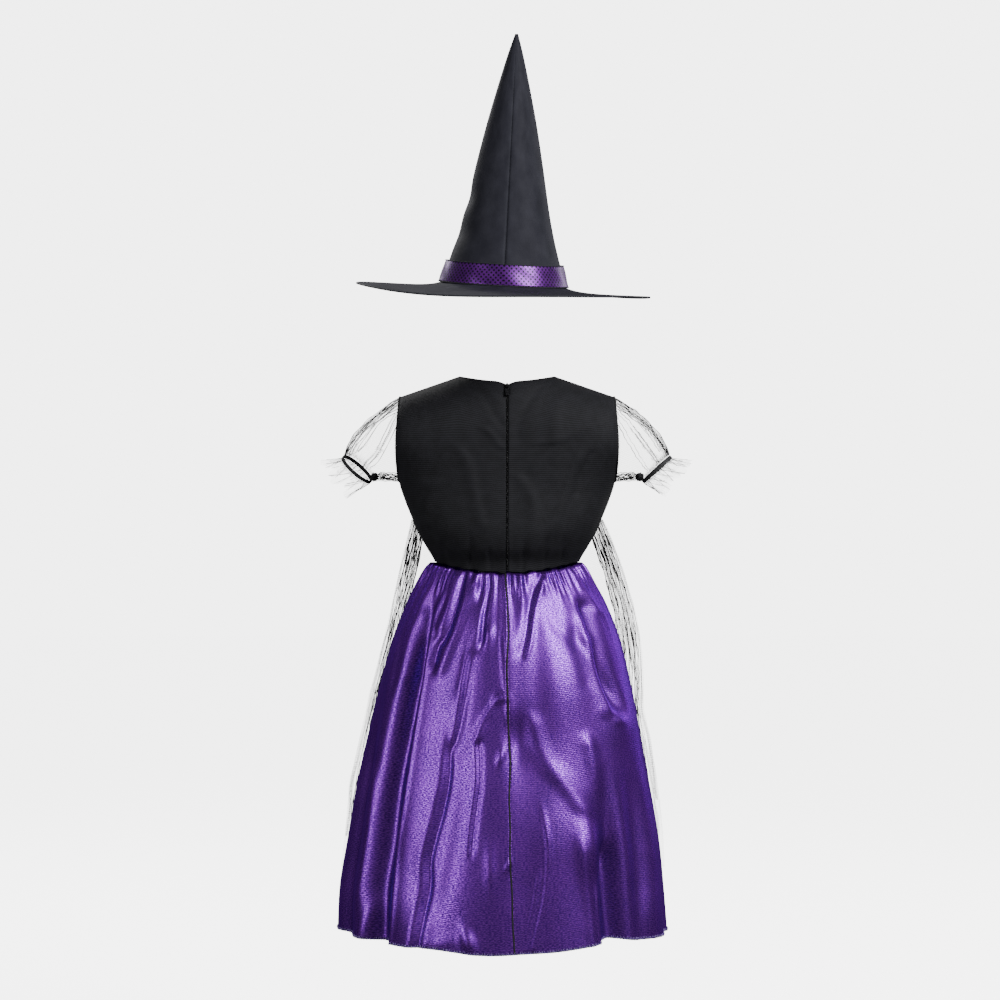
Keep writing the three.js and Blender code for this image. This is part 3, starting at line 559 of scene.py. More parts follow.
# creases as the camera sees them, on the way down
skirtCreases = [
    {"line": [(-77, -236), (-86, -277), (-99, -307), (-108, -348), (-117, -404), (-127, -465), (-135, -517),
              (-143, -566), (-150, -608), (-153, -654), (-156, -699), (-160, -750)],
     "depth": 5, "width": (11, 3), "crest": 2.5, "fade": (0.1, 0.02)},
    {"line": [(-55, -244), (-64, -287), (-72, -318), (-81, -339), (-90, -352), (-98, -390)],
     "depth": 3.5, "width": (4, 5), "crest": 1},
    {"line": [(-60, -250), (-77, -303), (-92, -336)], "depth": -3, "width": (6, 6)},
    {"line": [(-32, -246), (-46, -273), (-57, -303), (-68, -335), (-81, -368), (-92, -400)],
     "depth": -3.5, "width": (7, 7)},
    {"line": [(-27, -242), (-23, -268), (-26, -290), (-30, -312), (-32, -333), (-35, -360)],
     "depth": 4, "width": (3, 4), "crest": 0.8},
    {"line": [(-31, -290), (-39, -322), (-46, -348), (-55, -387), (-64, -420), (-80, -455)],
     "depth": -3, "width": (9, 8), "fade": (0.25, 0.35)},
    {"line": [(-9, -412), (-22, -434), (-32, -450), (-42, -480)], "depth": -2.5, "width": (5, 6)},
    {"line": [(-44, -350), (-51, -387), (-56, -420), (-62, -452), (-74, -494)],
     "depth": 3.5, "width": (3, 7), "crest": 0.8},
    {"line": [(-74, -450), (-78, -521), (-87, -566), (-96, -599), (-103, -630), (-104, -664), (-109, -696),
              (-116, -750)], "depth": 4.5, "width": (5, 5), "crest": 1.4, "fade": (0.2, 0.02)},
    {"line": [(-38, -462), (-36, -521), (-39, -550), (-44, -586), (-48, -632)],
     "depth": 2.6, "width": (2.5, 5), "crest": 0.8},
    {"line": [(-108, -298), (-116, -332), (-126, -361), (-137, -402)], "depth": -2.6, "width": (5, 5)},
    {"line": [(-95, -242), (-120, -294), (-133, -326), (-143, -370), (-154, -425)],
     "depth": 2, "width": (3, 5), "crest": 1},
    {"line": [(-172, -495), (-177, -556), (-181, -589), (-187, -628), (-197, -695)],
     "depth": -1.8, "width": (4, 5)},
    {"line": [(48, -243), (42, -266), (34, -286), (29, -309), (25, -338), (17, -372)],
     "depth": 4, "width": (8, 3), "crest": 1.5},
    {"line": [(45, -286), (58, -318), (77, -338), (90, -361), (107, -415)], "depth": 1.4, "width": (9, 8)},
    {"line": [(103, -325), (113, -368), (121, -407), (130, -450)], "depth": -3, "width": (10, 6)},
    {"line": [(90, -280), (101, -309), (112, -348), (121, -378), (131, -410), (144, -443)],
     "depth": 5, "width": (4, 12), "crest": 1.2, "fade": (0.2, 0.12)},
    {"line": [(84, -246), (95, -273), (108, -287), (124, -312)], "depth": -2.5, "width": (4, 4)},
    {"line": [(119, -285), (130, -309), (143, -335), (153, -361), (162, -387), (175, -436)],
     "depth": -3, "width": (5, 5)},
    {"line": [(101, -455), (112, -504), (118, -533), (124, -563), (132, -622)], "depth": -4,
     "width": (10, 9)},
    {"line": [(91, -585), (101, -651), (108, -696), (114, -750)], "depth": -2.5, "width": (7, 7),
     "fade": (0.2, 0.02)},
    {"line": [(116, -650), (124, -706), (127, -750)], "depth": -2.5, "width": (4, 3), "fade": (0.3, 0.02)},
    {"line": [(134, -600), (127, -651), (125, -676), (129, -750)], "depth": 4.5, "width": (3, 9),
     "crest": 1.4, "fade": (0.2, 0.02)},
    {"line": [(43, -540), (53, -608), (53, -647), (49, -684), (33, -750)], "depth": -2.2,
     "width": (4, 4), "fade": (0.3, 0.02)},
    {"line": [(45, -625), (36, -684), (22, -750)], "depth": -1.6, "width": (3, 4), "fade": (0.3, 0.02)},
    {"line": [(28, -430), (49, -498), (75, -530), (110, -578)], "depth": -3, "width": (10, 12)},
    {"line": [(-4, -300), (0, -360), (4, -420), (8, -480)], "depth": -6, "width": (6, 34), "fade": (0.3, 0.3)},
]
skirtSpots = [
    {"at": (-35, -278), "size": (6, 14), "height": -3.5},
    {"at": (-23, -334), "size": (7, 13), "height": 3, "lean": -15},
    {"at": (150, -445), "size": (26, 34), "height": 6},
    {"at": (-9, -416), "size": (9, 7), "height": 3.5},
    {"at": (-118, -735), "size": (25, 46), "height": 12, "lean": -6},
    {"at": (-186, -712), "size": (8, 32), "height": 6, "lean": -10},
    {"at": (-50, -735), "size": (9, 20), "height": 6, "lean": 18},
    {"at": (-87, -736), "size": (22, 10), "height": 2},
    {"at": (-22, -638), "size": (7, 32), "height": 2},
    {"at": (-8, -494), "size": (5, 12), "height": 3, "lean": -15},
    {"at": (1, -636), "size": (3.5, 9), "height": 2.2, "lean": -20},
    {"at": (13, -270), "size": (9, 15), "height": 3},
    {"at": (70, -395), "size": (44, 70), "height": 7, "lean": 12},
    {"at": (14, -470), "size": (14, 44), "height": -5},
    {"at": (142, -446), "size": (8, 6), "height": 2},
    {"at": (101, -300), "size": (13, 10), "height": -3},
    {"at": (88, -342), "size": (9, 16), "height": -2.5, "lean": 15},
    {"at": (112, -608), "size": (26, 40), "height": 9, "lean": 8},
    {"at": (48, -596), "size": (30, 56), "height": 4},
    {"at": (188, -700), "size": (10, 44), "height": 6},
]
frontCreases = {"scale": (-0.93, -1, 1), "shift": (-7, 0, -9)}  # the back's, turned round and moved a little
creasesFace = (0.12, 0.6)  # how far the cloth faces the camera where creases begin, and where they are full


def waistAt(angle):
    facing = np.cos(angle)
    scallops = waist["scallop"] * (np.sin(23 * angle) + 0.6 * np.sin(41 * angle + 1)) * facing**2
    return waist["height"] - np.where(facing > 0, waist["dipBack"], waist["dipFront"]) * facing**2 + scallops


def turnBetween(a, b):
    return (a - b + 180) % 360 - 180


def hemAt(angle):
    height = hemHeight + 0 * angle
    for row in hemDrops:
        height = height - row["drop"] * bump(turnBetween(angle / degree, row["at"]), row["halfWidth"])
    return height


# A point of the skirt: angle from the centre back towards +X, v from the waist to the hem
def skirtAt(angle, v, raised=0):
    angle, v = np.broadcast_arrays(np.asarray(angle, dtype=float), np.asarray(v, dtype=float))
    z = lerp(waistAt(angle) - clothWall / 2 - seamGap, hemAt(angle), v)
    section = tableAt(skirtSections, "z", z)
    sine, cosine = np.sin(angle), np.cos(angle)
    inward = np.zeros(angle.shape)
    for fold in skirtFolds:
        apart = turnBetween(angle / degree, lerp(fold["top"], fold["hem"], v))
        forming = smooth(fold["start"], fold["start"] + foldEase["forming"], v)
        fading = 1 - smooth(fold["end"] - foldEase["fading"], fold["end"], v)
        inward += fold["depth"] * forming * fading * bump(apart, fold["halfWidth"])
    drift = skirtGathers["unevenness"] * np.sin(5 * angle)
    waves = 1 - np.cos(skirtGathers["count"] * angle + drift)
    waves = waves * (0.5 + 0.3 * np.sin(4 * angle + 1) + 0.2 * np.sin(9 * angle + 2))
    inward += 0.5 * waves * skirtGathers["depth"] * np.exp(-v / skirtGathers["reach"])
    uneven = pucker["depth"] * (0.6 + 0.4 * np.sin(13 * angle)) * bump(v, pucker["reach"])
    inward -= uneven * np.sin(pucker["count"] * angle + 2 * np.sin(9 * angle) + 14 * v * np.sin(6 * angle))
    x = section["shift"] + section["halfWidth"] * sine
    base = asPoints(x, -section["depth"] * cosine, z)
    creased = np.where(base[..., 1:2] < 0, base, base * frontCreases["scale"] + frontCreases["shift"])
    relief = reliefAt(*seenPlace(creased), skirtCreases, skirtSpots)
    facing = smooth(*creasesFace, np.abs(cosine))
    out = asPoints(section["depth"] * sine, -section["halfWidth"] * cosine, 0)
    out /= np.linalg.norm(out, axis=-1, keepdims=True)
    return base + out * (relief * facing - inward + raised)[..., None]


def seamAngle(v):
    sway = 0.38 * np.sin(15 * v + 0.4) + 0.16 * np.sin(37 * v + 2)
    return (backSeam["drift"] * v + sway * smooth(0, 0.08, v)) * degree


def skirtHalfWidth(v):
    return tableAt(skirtSections, "z", lerp(waist["height"], hemHeight, v))["halfWidth"]


print("skirt")
skirtGrid = {"columns": 176, "rows": 160, "frontColumns": 260, "frontRows": 120}
skirtCut = {"backWidth": 0.38, "frontWidth": 0.76, "length": 0.49, "waistShare": 0.6}
down = np.linspace(0, 1, skirtGrid["rows"] + 1)[:, None]
over = np.linspace(0, 1, skirtGrid["columns"] + 1)[None, :]
for side, name in bothSides:
    start = seamAngle(down) + side * np.arcsin(backSeam["width"] / 2 / skirtHalfWidth(down))
    panel = skirtAt(lerp(start, side * math.pi / 2, over), down)
    clothPiece("skirt_panel_back_" + name, panel,
                                  (skirtCut["backWidth"], skirtCut["length"]), "satin",
                                  ["skirt_back_" + name])
down = np.linspace(0, 1, skirtGrid["frontRows"] + 1)[:, None]
over = np.linspace(0, 1, skirtGrid["frontColumns"] + 1)[None, :]
panel = skirtAt(lerp(math.pi / 2, 3 * math.pi / 2, over), down)
clothPiece("skirt_panel_front", panel, (skirtCut["frontWidth"], skirtCut["length"]),
                              "satin", ["skirt_front"])

print("hem")
hem = {"radius": 1.1, "rise": 0.9, "sides": 8, "columns": 900, "cut": (1.22, 0.007), "stitches": 460,
       "unevenness": 0.3, "threadRadius": 0.28, "leans": (-0.5, 0.9)}
hemStitch = [(1, 3.4, 1), (1.55, 1.53, 0), (0.9, -0.6, 0), (-1.3, 0.68, 0)]  # outwards, up, share of the lean
around = np.linspace(0, 2 * math.pi, hem["columns"] + 1)[None, :]
section = np.linspace(0, 2 * math.pi, hem["sides"] + 1)[:, None]
edge = skirtAt(around, 1 + 0 * section)
out = skirtAt(around, 1 + 0 * section, 1) - edge
roll = edge + out * (hem["radius"] * np.cos(section))[..., None]
roll[..., 2] += hem["rise"] + hem["radius"] * np.sin(section)
clothPiece("skirt_hem_roll", roll, hem["cut"], "hemEdge", thickness=0, closed=True)
stitchPaths = []
for i in range(hem["stitches"]):
    turn = 2 * math.pi * (i + hem["unevenness"] * math.sin(7.3 * i)) / hem["stitches"]
    foot = skirtAt(turn, 1)
    push = skirtAt(turn, 1, 1) - foot
    lean = np.array([-push[1], push[0], 0]) * hem["leans"][i % 2]
    stitchPaths.append([foot + push * off + (0, 0, rise) + lean * share for off, rise, share in hemStitch])
threadPiece("skirt_hem_stitches", stitchPaths, hem["threadRadius"], "lilacThread", sides=0)

print("skirt seams")
seamShare = np.linspace(0, 1, backSeam["steps"])
reach = np.arcsin(backSeam["width"] / 2 / skirtHalfWidth(seamShare))
ridge = []
for share, rise in seamRidge:
    ridge.append(skirtAt(seamAngle(seamShare) + share * reach, seamShare, rise * backSeam["raise"]))
seamPoints = np.stack(ridge, axis=1)
clothPiece("skirt_seam_back", seamPoints, backSeam["cut"], "thread", ["skirt_back_seam"])
zigzag = []
for i in range(backSeam["crossings"]):
    low = i / backSeam["crossings"]
    reach = np.arcsin(backSeam["stitchReach"] / skirtHalfWidth(low)) * (1 if i % 2 else -1)
    zigzag.append(skirtAt(seamAngle(low) + reach, low, backSeam["stitchRaise"]))
threadPiece("skirt_seam_stitches", [np.array(zigzag)], backSeam["threadRadius"], "thread",
            sides=0)


# bodice

bodiceCreases = [
    {"line": [(-66, -80), (-50, -118), (-38, -170), (-28, -205)], "depth": -2.6, "width": (9, 7)},
    {"line": [(-35, -62), (-20, -75), (-5, -96)], "depth": -1.6, "width": (4, 4)},
    {"line": [(-46, -4), (-28, -30), (-14, -52), (-3, -70)], "depth": 1.6, "width": (4, 6)},
    {"line": [(-40, -2), (-18, -24), (-4, -38)], "depth": -1.2, "width": (3, 3)},
    {"line": [(-84, -128), (-97, -150), (-106, -176), (-104, -200)], "depth": -2.2, "width": (7, 5)},
    {"line": [(-100, -50), (-96, -95), (-104, -140)], "depth": 1.4, "width": (10, 9)},
    {"line": [(101, -88), (85, -121), (75, -153), (64, -182), (52, -215)], "depth": -2.4, "width": (6, 9)},
    {"line": [(113, -92), (97, -125), (88, -160)], "depth": 1.6, "width": (5, 5)},
    {"line": [(8, -118), (30, -150), (36, -186), (26, -235)], "depth": -2.2, "width": (8, 7)},
    {"line": [(46, -6), (30, -30), (16, -58), (13, -90)], "depth": 1.4, "width": (5, 6)},
    {"line": [(70, -20), (62, -60), (66, -110), (60, -150)], "depth": -1.4, "width": (9, 10)},
    {"line": [(120, -55), (88, -72), (44, -90)], "depth": -1.8, "width": (7, 7)},
    {"line": [(-86, -205), (-82, -232), (-78, -262)], "depth": 2, "width": (3, 4), "fade": (0.4, 0.02)},
    {"line": [(-50, -190), (-47, -225), (-46, -262)], "depth": 2.4, "width": (3, 4), "fade": (0.4, 0.02)},
    {"line": [(-25, -212), (-22, -238), (-22, -265)], "depth": 1.8, "width": (3, 3), "fade": (0.4, 0.02)},
    {"line": [(24, -200), (21, -232), (20, -265)], "depth": 2.2, "width": (3, 4), "fade": (0.4, 0.02)},
    {"line": [(54, -205), (50, -232), (49, -262)], "depth": 2.2, "width": (3, 3), "fade": (0.4, 0.02)},
    {"line": [(76, -200), (72, -228), (70, -258)], "depth": 1.8, "width": (3, 4), "fade": (0.4, 0.02)},
    {"line": [(2.6, 0), (2.6, -130), (2.6, -262)], "depth": -0.9, "width": (1.4, 2.2), "fade": (0.03, 0.02)},
]
bodiceSpots = [
    {"at": (24, -128), "size": (10, 12), "height": -1.8},
    {"at": (-20, -148), "size": (12, 26), "height": 1.4},
    {"at": (-70, -30), "size": (26, 14), "height": 1.2},
    {"at": (95, -150), "size": (14, 30), "height": -1.5},
]
# share of the creases' depth, how far the cloth faces the camera where they begin and where they are full,
# and how the back's creases are turned round for the front
bodiceRelief = {"share": 0.8, "faces": (0.15, 0.5), "frontScale": (-0.95, 1, 1)}
underarmShare = (underarmHeight - waist["height"]) / (yokeHeight - waist["height"]) * lowerShare


def bodiceBelowYoke(angle, z, isBack):
    section = tableAt(bodiceSections, "z", z)
    sine = np.abs(np.sin(angle)) ** (2 / section["power"])
    cosine = np.maximum(np.cos(angle), 0) ** (2 / section["power"])
    inArmhole = np.maximum(1 - ((z - armhole["height"]) / armhole["halfHeight"]) ** 2, 0)
    rim = armhole["halfDepth"] * np.sqrt(inArmhole)
    rising = (z - underarmHeight) / armhole["halfHeight"]
    soft = armhole["halfDepth"] * smooth(armhole["softFrom"], 1, rising)
    edge = lerp(soft, rim, (1 - cosine) ** armhole["sharpness"])
    out = edge + (section["back" if isBack else "front"] - edge) * cosine
    halfWidth = np.minimum(section["halfWidth"], armhole["x"])
    x = section["shift"] * cosine + halfWidth * sine * np.sign(angle)
    return asPoints(x, -out if isBack else out, z)


def bodiceTopEdge(across, isBack):
    neck = neckBack if isBack else neckFront
    neckShare = neckHalfWidth / armhole["x"]
    share = np.abs(across)
    turn = np.minimum(share / neckShare, 1) * math.pi / 2
    drop = neck["drop"] * np.cos(turn) ** 2 + neck["notch"] * bump(share * armhole["x"], notchHalfWidth)
    past = np.clip((share - neckShare) / (1 - neckShare), 0, 1)
    inNeck = share < neckShare
    x = np.where(inNeck, neckHalfWidth * np.sin(turn), lerp(neckHalfWidth, armhole["x"], past))
    y = np.where(inNeck, neck["depth"] * np.cos(turn), 0)
    z = np.where(inNeck, -drop, shoulderDrop * past)
    return asPoints(x * np.sign(across), -y if isBack else y, z)


def addSwell(points, side):  # the cloth stands out a little at the armholes
    nearSide = smooth(armholeSwell["fromShare"], 1, np.abs(points[..., 0]) / armhole["x"])
    swell = armholeSwell["depth"] * bump(points[..., 2] - armholeSwell["height"], armholeSwell["halfHeight"])
    points[..., 0] += side * nearSide * swell


# A point of the bodice: angle 0 at the centre, 90 degrees at the side, v from the waist to the top edge
def bodiceAt(angle, v, isBack):
    angle, v = np.broadcast_arrays(np.asarray(angle, dtype=float), np.asarray(v, dtype=float))
    z = lerp(waistAt(angle if isBack else math.pi - angle), yokeHeight, np.minimum(v / lowerShare, 1))
    lower = bodiceBelowYoke(angle, z, isBack)
    fade = np.maximum(1 - v / bodiceGathers["reach"], 0)
    drift = bodiceGathers["unevenness"] * np.sin(3 * angle)
    waves = 1 - np.cos(angle * 4 * bodiceGathers["perQuarter"] + drift)
    inward = 0.5 * bodiceGathers["depth"] * fade**2 * waves / np.hypot(lower[..., 0], lower[..., 1])
    lower[..., :2] *= (1 - inward)[..., None]
    addSwell(lower, np.sign(angle))
    rise = np.clip((v - lowerShare) / (1 - lowerShare), 0, 1)
    low = bodiceBelowYoke(angle, yokeHeight + 0 * angle, isBack)
    top = bodiceTopEdge(low[..., 0] / armhole["x"], isBack)
    neckness = np.maximum(1 - np.abs(low[..., 0]) / neckHalfWidth, 0)
    lastTurn = lerp(yokeTurn["side"], yokeTurn["neck"], neckness) * degree
    turn = rise * lastTurn
    moveIn = ((1 - np.cos(turn)) / (1 - np.cos(lastTurn)))[..., None]
    moveUp = (np.sin(turn) / np.sin(lastTurn))[..., None]
    upper = lerp(low, top, np.concatenate([moveIn, moveIn, moveUp], axis=-1))
    addSwell(upper, np.sign(angle))
    return np.where((v > lowerShare)[..., None], upper, lower)


print("bodice")
zipEdge = 1.5
firstColumn = {"past": 0.6, "halfWidth": 100}
bodiceGrid = {"columns": 80, "lowerRows": 76, "upperRows": 42}
bodiceCut = {"backWidth": 0.175, "frontWidth": 0.35, "length": 0.27, "backArea": 0.04, "frontArea": 0.08}
lowerUp = np.linspace(0, lowerShare, bodiceGrid["lowerRows"])
up = np.concatenate([lowerUp, np.linspace(lowerShare, 1, bodiceGrid["upperRows"])[1:]])[:, None]
over = np.linspace(0, 1, bodiceGrid["columns"] + 1)[None, :]


def withRelief(points, isBack):
    x, z = seenPlace(points if isBack else points * bodiceRelief["frontScale"])
    normal = gridNormals(points)
    facing = smooth(*bodiceRelief["faces"], np.abs(normal[..., 1]))
    edges = np.ones(points.shape[:2])
    edges[:, -1] = edges[-1, :] = 0
    height = reliefAt(x, z, bodiceCreases, bodiceSpots) * bodiceRelief["share"] * facing * edges
    return points + normal * height[..., None]


for side, name in bothSides:
    power = lerp(2, bodiceSections[-1]["power"], smooth(0, lowerShare, up))
    start = np.arcsin(((zipEdge + firstColumn["past"]) / firstColumn["halfWidth"]) ** (power / 2))
    points = bodiceAt(side * np.maximum(start, over * math.pi / 2), up, True)
    pull = side * zipEdge - bodiceAt(side * start, up, True)[..., 0]
    points[..., 0] += pull * (1 - over) ** 3
    clothPiece("bodice_panel_back_" + name, withRelief(points, True),
                                   (bodiceCut["backWidth"], bodiceCut["length"]), "crepe",
                                   ["bodice_back_" + name])
over = np.linspace(-1, 1, 2 * bodiceGrid["columns"] + 1)[None, :]
points = bodiceAt(over * math.pi / 2, up, False)
clothPiece("bodice_panel_front", withRelief(points, False),
                               (bodiceCut["frontWidth"], bodiceCut["length"]), "crepe",
                               ["bodice_front"])

print("bodice edges")
rim = {"neckRadius": 0.8, "neckSteps": 60, "armholeRadius": 1.3, "armholeSteps": 160, "teeth": 92,
       "toothIn": 0.3, "toothOut": 0.25, "innerOff": 0.7, "outerOff": 0.4, "shoulderRadius": 0.5,
       "shoulderSteps": 40, "shoulderLift": 0.35}
neckPaths = []
for side in (-1, 1):
    neckEnd = neckHalfWidth / armhole["x"]
    back = bodiceTopEdge(side * np.linspace(zipEdge / armhole["x"], neckEnd, rim["neckSteps"]), True)
    front = bodiceTopEdge(side * np.linspace(neckEnd, 0, rim["neckSteps"]), False)
    neckPaths.append(np.concatenate([back, front]))
threadPiece("neck_edge", neckPaths, rim["neckRadius"], "thread")
armholePaths = []
for side in (-1, 1):
    share = np.linspace(underarmShare, 1, rim["armholeSteps"])
    back = bodiceAt(side * math.pi / 2, share, True)
    front = bodiceAt(side * math.pi / 2, share[::-1], False)
    edge = np.concatenate([back, front])
    along = np.linspace(0, 1, len(edge))
    jog = np.sign(np.sin(2 * math.pi * rim["teeth"] * along))[:, None]
    inward = np.array([armhole["x"] * side, 0, armhole["height"]]) - edge
    inward /= np.linalg.norm(inward, axis=-1, keepdims=True)
    armholePaths.append(edge - inward * jog * rim["toothIn"] + (side * rim["innerOff"], 0, 0))
    armholePaths.append(edge + side * (rim["outerOff"] + rim["toothOut"] * jog) * (1, 0, 0))
threadPiece("armhole_seams", armholePaths, rim["armholeRadius"], "thread", sides=1)
shoulderPaths = []
for side in (-1, 1):
    share = np.linspace(neckHalfWidth / armhole["x"], 1, rim["shoulderSteps"]) * side
    shoulderPaths.append(bodiceTopEdge(share, True) * (1, 0, 1) + (0, 0, rim["shoulderLift"]))
threadPiece("shoulder_seams", shoulderPaths, rim["shoulderRadius"], "thread")

print("zip")
chain = {"top": -15.6, "bottomGap": 2, "pitch": 1.25, "coilRadius": 0.558, "coilOff": 0.34, "lift": 0.1,
         "wire": 0.24, "stepsPerTurn": 6}
tapeCut = {"halfWidth": 4.4, "behind": 1.5, "thickness": 0.4, "rows": 80, "columns": 9, "flat": (0.009, 0.235)}
slider = {"height": -16, "width": 7, "length": 8.4, "frontPlate": 1.6, "backPlate": 1.2, "gap": 3,
          "frontRounding": 0.5, "backRounding": 0.4}
sliderNeck = {"halfWidth": 0.9, "low": 1.4, "high": 4, "into": 0.2, "rounding": 0.2}
bail = {"width": 2, "bar": 1, "clearance": 1.8, "low": -3.6, "high": 3.6, "into": 0.3, "rounding": 0.25}
pullTab = {"width": 4.6, "thickness": 0.8, "axle": 1, "eyeWidth": 3.2, "eyeEnd": 6, "length": 17,
           "axisHeight": 1, "sides": 32, "roundFrom": -0.7, "roundWidth": 1.4, "rounding": 0.15}
nearCentre = 0.0001
centreShare = np.linspace(0, 1, 400)
centreLine = bodiceAt(nearCentre, centreShare, True)


def backCentreAt(z):
    return np.interp(z, centreLine[:, 2], centreLine[:, 1])


chainLow = centreLine[0, 2] + chain["bottomGap"]
chainLength = chain["top"] - chainLow
coilPaths = []
for side in (-1, 1):
    turns = int(chainLength / chain["pitch"])
    angle = np.linspace(0, 2 * math.pi * turns, chain["stepsPerTurn"] * turns)
    z = chainLow + chainLength * angle / angle[-1]
    x = side * (chain["coilOff"] + chain["coilRadius"] * np.cos(angle))
    y = backCentreAt(z) - chain["lift"] - chain["coilRadius"] * np.sin(angle)
    coilPaths.append(asPoints(x, y, z))
threadPiece("zip_coil", coilPaths, chain["wire"], "enamel", ["zip_chain"], sides=0)
z = np.linspace(chainLow, chain["top"], tapeCut["rows"])[:, None]
x = np.linspace(-tapeCut["halfWidth"], tapeCut["halfWidth"], tapeCut["columns"])[None, :]
tape = asPoints(x, backCentreAt(z) + tapeCut["behind"], z)
clothPiece("zip_tape", tape, tapeCut["flat"], "thread", thickness=tapeCut["thickness"])


def zipPiece(name, build, body, node):
    shape = bmesh.new()
    build(shape)
    bmesh.ops.recalc_face_normals(shape, faces=shape.faces)
    bmesh.ops.transform(shape, matrix=zipPlace, verts=shape.verts)
    bmesh.ops.scale(shape, vec=(mm, mm, mm), verts=shape.verts)
    finishPiece(name, meshOf(name, shape), "enamel", [node], body, rounded=False)


def addBlock(shape, low, high, edge):
    made = bmesh.ops.create_cube(shape, size=1)["verts"]
    size = Vector(high) - Vector(low)
    bmesh.ops.scale(shape, vec=size, verts=made)
    bmesh.ops.translate(shape, vec=(Vector(low) + Vector(high)) / 2, verts=made)
    edges = list({e for v in made for e in v.link_edges})
    bmesh.ops.bevel(shape, geom=edges, offset=edge, affect="EDGES", segments=3, profile=0.5, material=-1)


slideY = backCentreAt(slider["height"])
shareStep = 0.01
slideShare = np.interp(slider["height"], centreLine[:, 2], centreShare)
above = bodiceAt(nearCentre, slideShare + shareStep, True)
lean = math.atan2(above[1] - slideY, above[2] - slider["height"])
zipPlace = Matrix.Translation((0, slideY, slider["height"])) @ Matrix.Rotation(-lean, 4, "X")
frontFace = -slider["gap"] / 2 - slider["frontPlate"]
bailInner = frontFace - bail["clearance"]
bailOuter = bailInner - bail["bar"]


def buildSlider(shape):
    half, end = slider["width"] / 2, slider["length"] / 2
    front, back = -slider["gap"] / 2, slider["gap"] / 2
    addBlock(shape, (-half, frontFace, -end), (half, front, end), slider["frontRounding"])
    addBlock(shape, (-half, back, -end), (half, back + slider["backPlate"], end), slider["backRounding"])
    half, into = sliderNeck["halfWidth"], sliderNeck["into"]
    addBlock(shape, (-half, front - into, sliderNeck["low"]), (half, back + into, sliderNeck["high"]),
             sliderNeck["rounding"])
    half, foot = bail["width"] / 2, frontFace + bail["into"]
    for low, high, inner in ((bail["high"] - bail["bar"], bail["high"], foot),
                             (bail["low"], bail["low"] + bail["bar"], foot),
                             (bail["low"], bail["high"], bailInner)):
        addBlock(shape, (-half, bailOuter, low), (half, inner, high), bail["rounding"])


# The tab is a flat ring: square round the axle, straight sides, a rounded end, and a long eye
def buildTab(shape):
    half = pullTab["width"] / 2
    eyeHalf = pullTab["eyeWidth"] / 2
    high = pullTab["axle"] / 2
    rounding = pullTab["roundFrom"]
    outer, inner = [], []
    for i in range(pullTab["sides"]):
        turn = 2 * math.pi * (i + 0.5) / pullTab["sides"]
        c, s = math.cos(turn), math.sin(turn)
        boxed = max(abs(c), abs(s))
        if s > 0:
            outer.append((half * c / boxed, high * s / boxed))
        elif s > rounding:
            outer.append((half * c / boxed, (half - pullTab["length"]) * -s / boxed))
        else:
            end = half - pullTab["length"] + half * (s - rounding) / (1 + rounding)
            outer.append((half * c * pullTab["roundWidth"], end))
        inner.append((eyeHalf * c / boxed, -high + (pullTab["eyeEnd"] - high) * (s / boxed - 1) / 2))
    rings = []
    for outline in (outer, inner):
        verts = [shape.verts.new((x, -pullTab["thickness"] / 2, z)) for x, z in outline]
        rings += [shape.edges.new((verts[i - 1], verts[i])) for i in range(len(verts))]
    bmesh.ops.bridge_loops(shape, edges=rings)
    made = bmesh.ops.extrude_face_region(shape, geom=shape.faces[:])["geom"]
    back = [v for v in made if isinstance(v, bmesh.types.BMVert)]
    bmesh.ops.translate(shape, vec=(0, pullTab["thickness"], 0), verts=back)
    corners = [e for e in shape.edges if e.calc_face_angle(0) > math.pi / 3]
    bmesh.ops.bevel(shape, geom=corners, offset=pullTab["rounding"], affect="EDGES", segments=2,
                    profile=0.5, material=-1)
    bmesh.ops.translate(shape, vec=(0, frontFace - bail["clearance"] / 2, pullTab["axisHeight"]),
                        verts=shape.verts)


zipPiece("slider_body", buildSlider, "costume", "zip_slider")
zipPiece("slider_pull", buildTab, "pull_tab", "zip_pull_tab")


# sleeves, rings from the armhole to the elastic on the wearer's right side

sleeveRings = [
    {"share": 0, "x": 138.9, "z": -81, "halfHeight": 54.6, "halfDepth": 48.2, "tilt": 0},
    {"share": 0.34, "x": 160, "z": -90.8, "halfHeight": 45.5, "halfDepth": 52, "tilt": 7},
    {"share": 0.7, "x": 181, "z": -104, "halfHeight": 34.5, "halfDepth": 43, "tilt": 22},
    {"share": 1, "x": 192.8, "z": -117.5, "halfHeight": 24.3, "halfDepth": 22, "tilt": 48},
]
sleeveGathers = {"count": 8, "depth": 2.4, "full": 0.5, "fading": 0.75}
ruffleRings = [
    {"share": 0, "x": 196.9, "z": -122.1, "halfHeight": 24.3, "halfDepth": 22, "tilt": 48},
    {"share": 0.5, "x": 212, "z": -129, "halfHeight": 25.5, "halfDepth": 24, "tilt": 43},
    {"share": 1, "x": 225, "z": -134, "halfHeight": 26, "halfDepth": 26, "tilt": 38},
]
ruffleWaves = {"count": 7, "depth": 5}
elastic = {"x": 195, "z": -120, "halfHeight": 24.3, "halfDepth": 22, "tilt": 48, "width": 4.4}
cuffTurn = {"left": 14, "start": 0.4}
underarm = {"start": 138, "end": 171, "height": -131.5, "rise": 2, "radius": 6.8, "deeper": 1.3,
            "strands": 22, "steps": 40, "threadRadius": 0.4}
cuffKnot = {"x": 172.5, "z": -130, "size": (5.8, 5.2, 6.2), "fullness": 0.86, "foldDepth": 0.2}


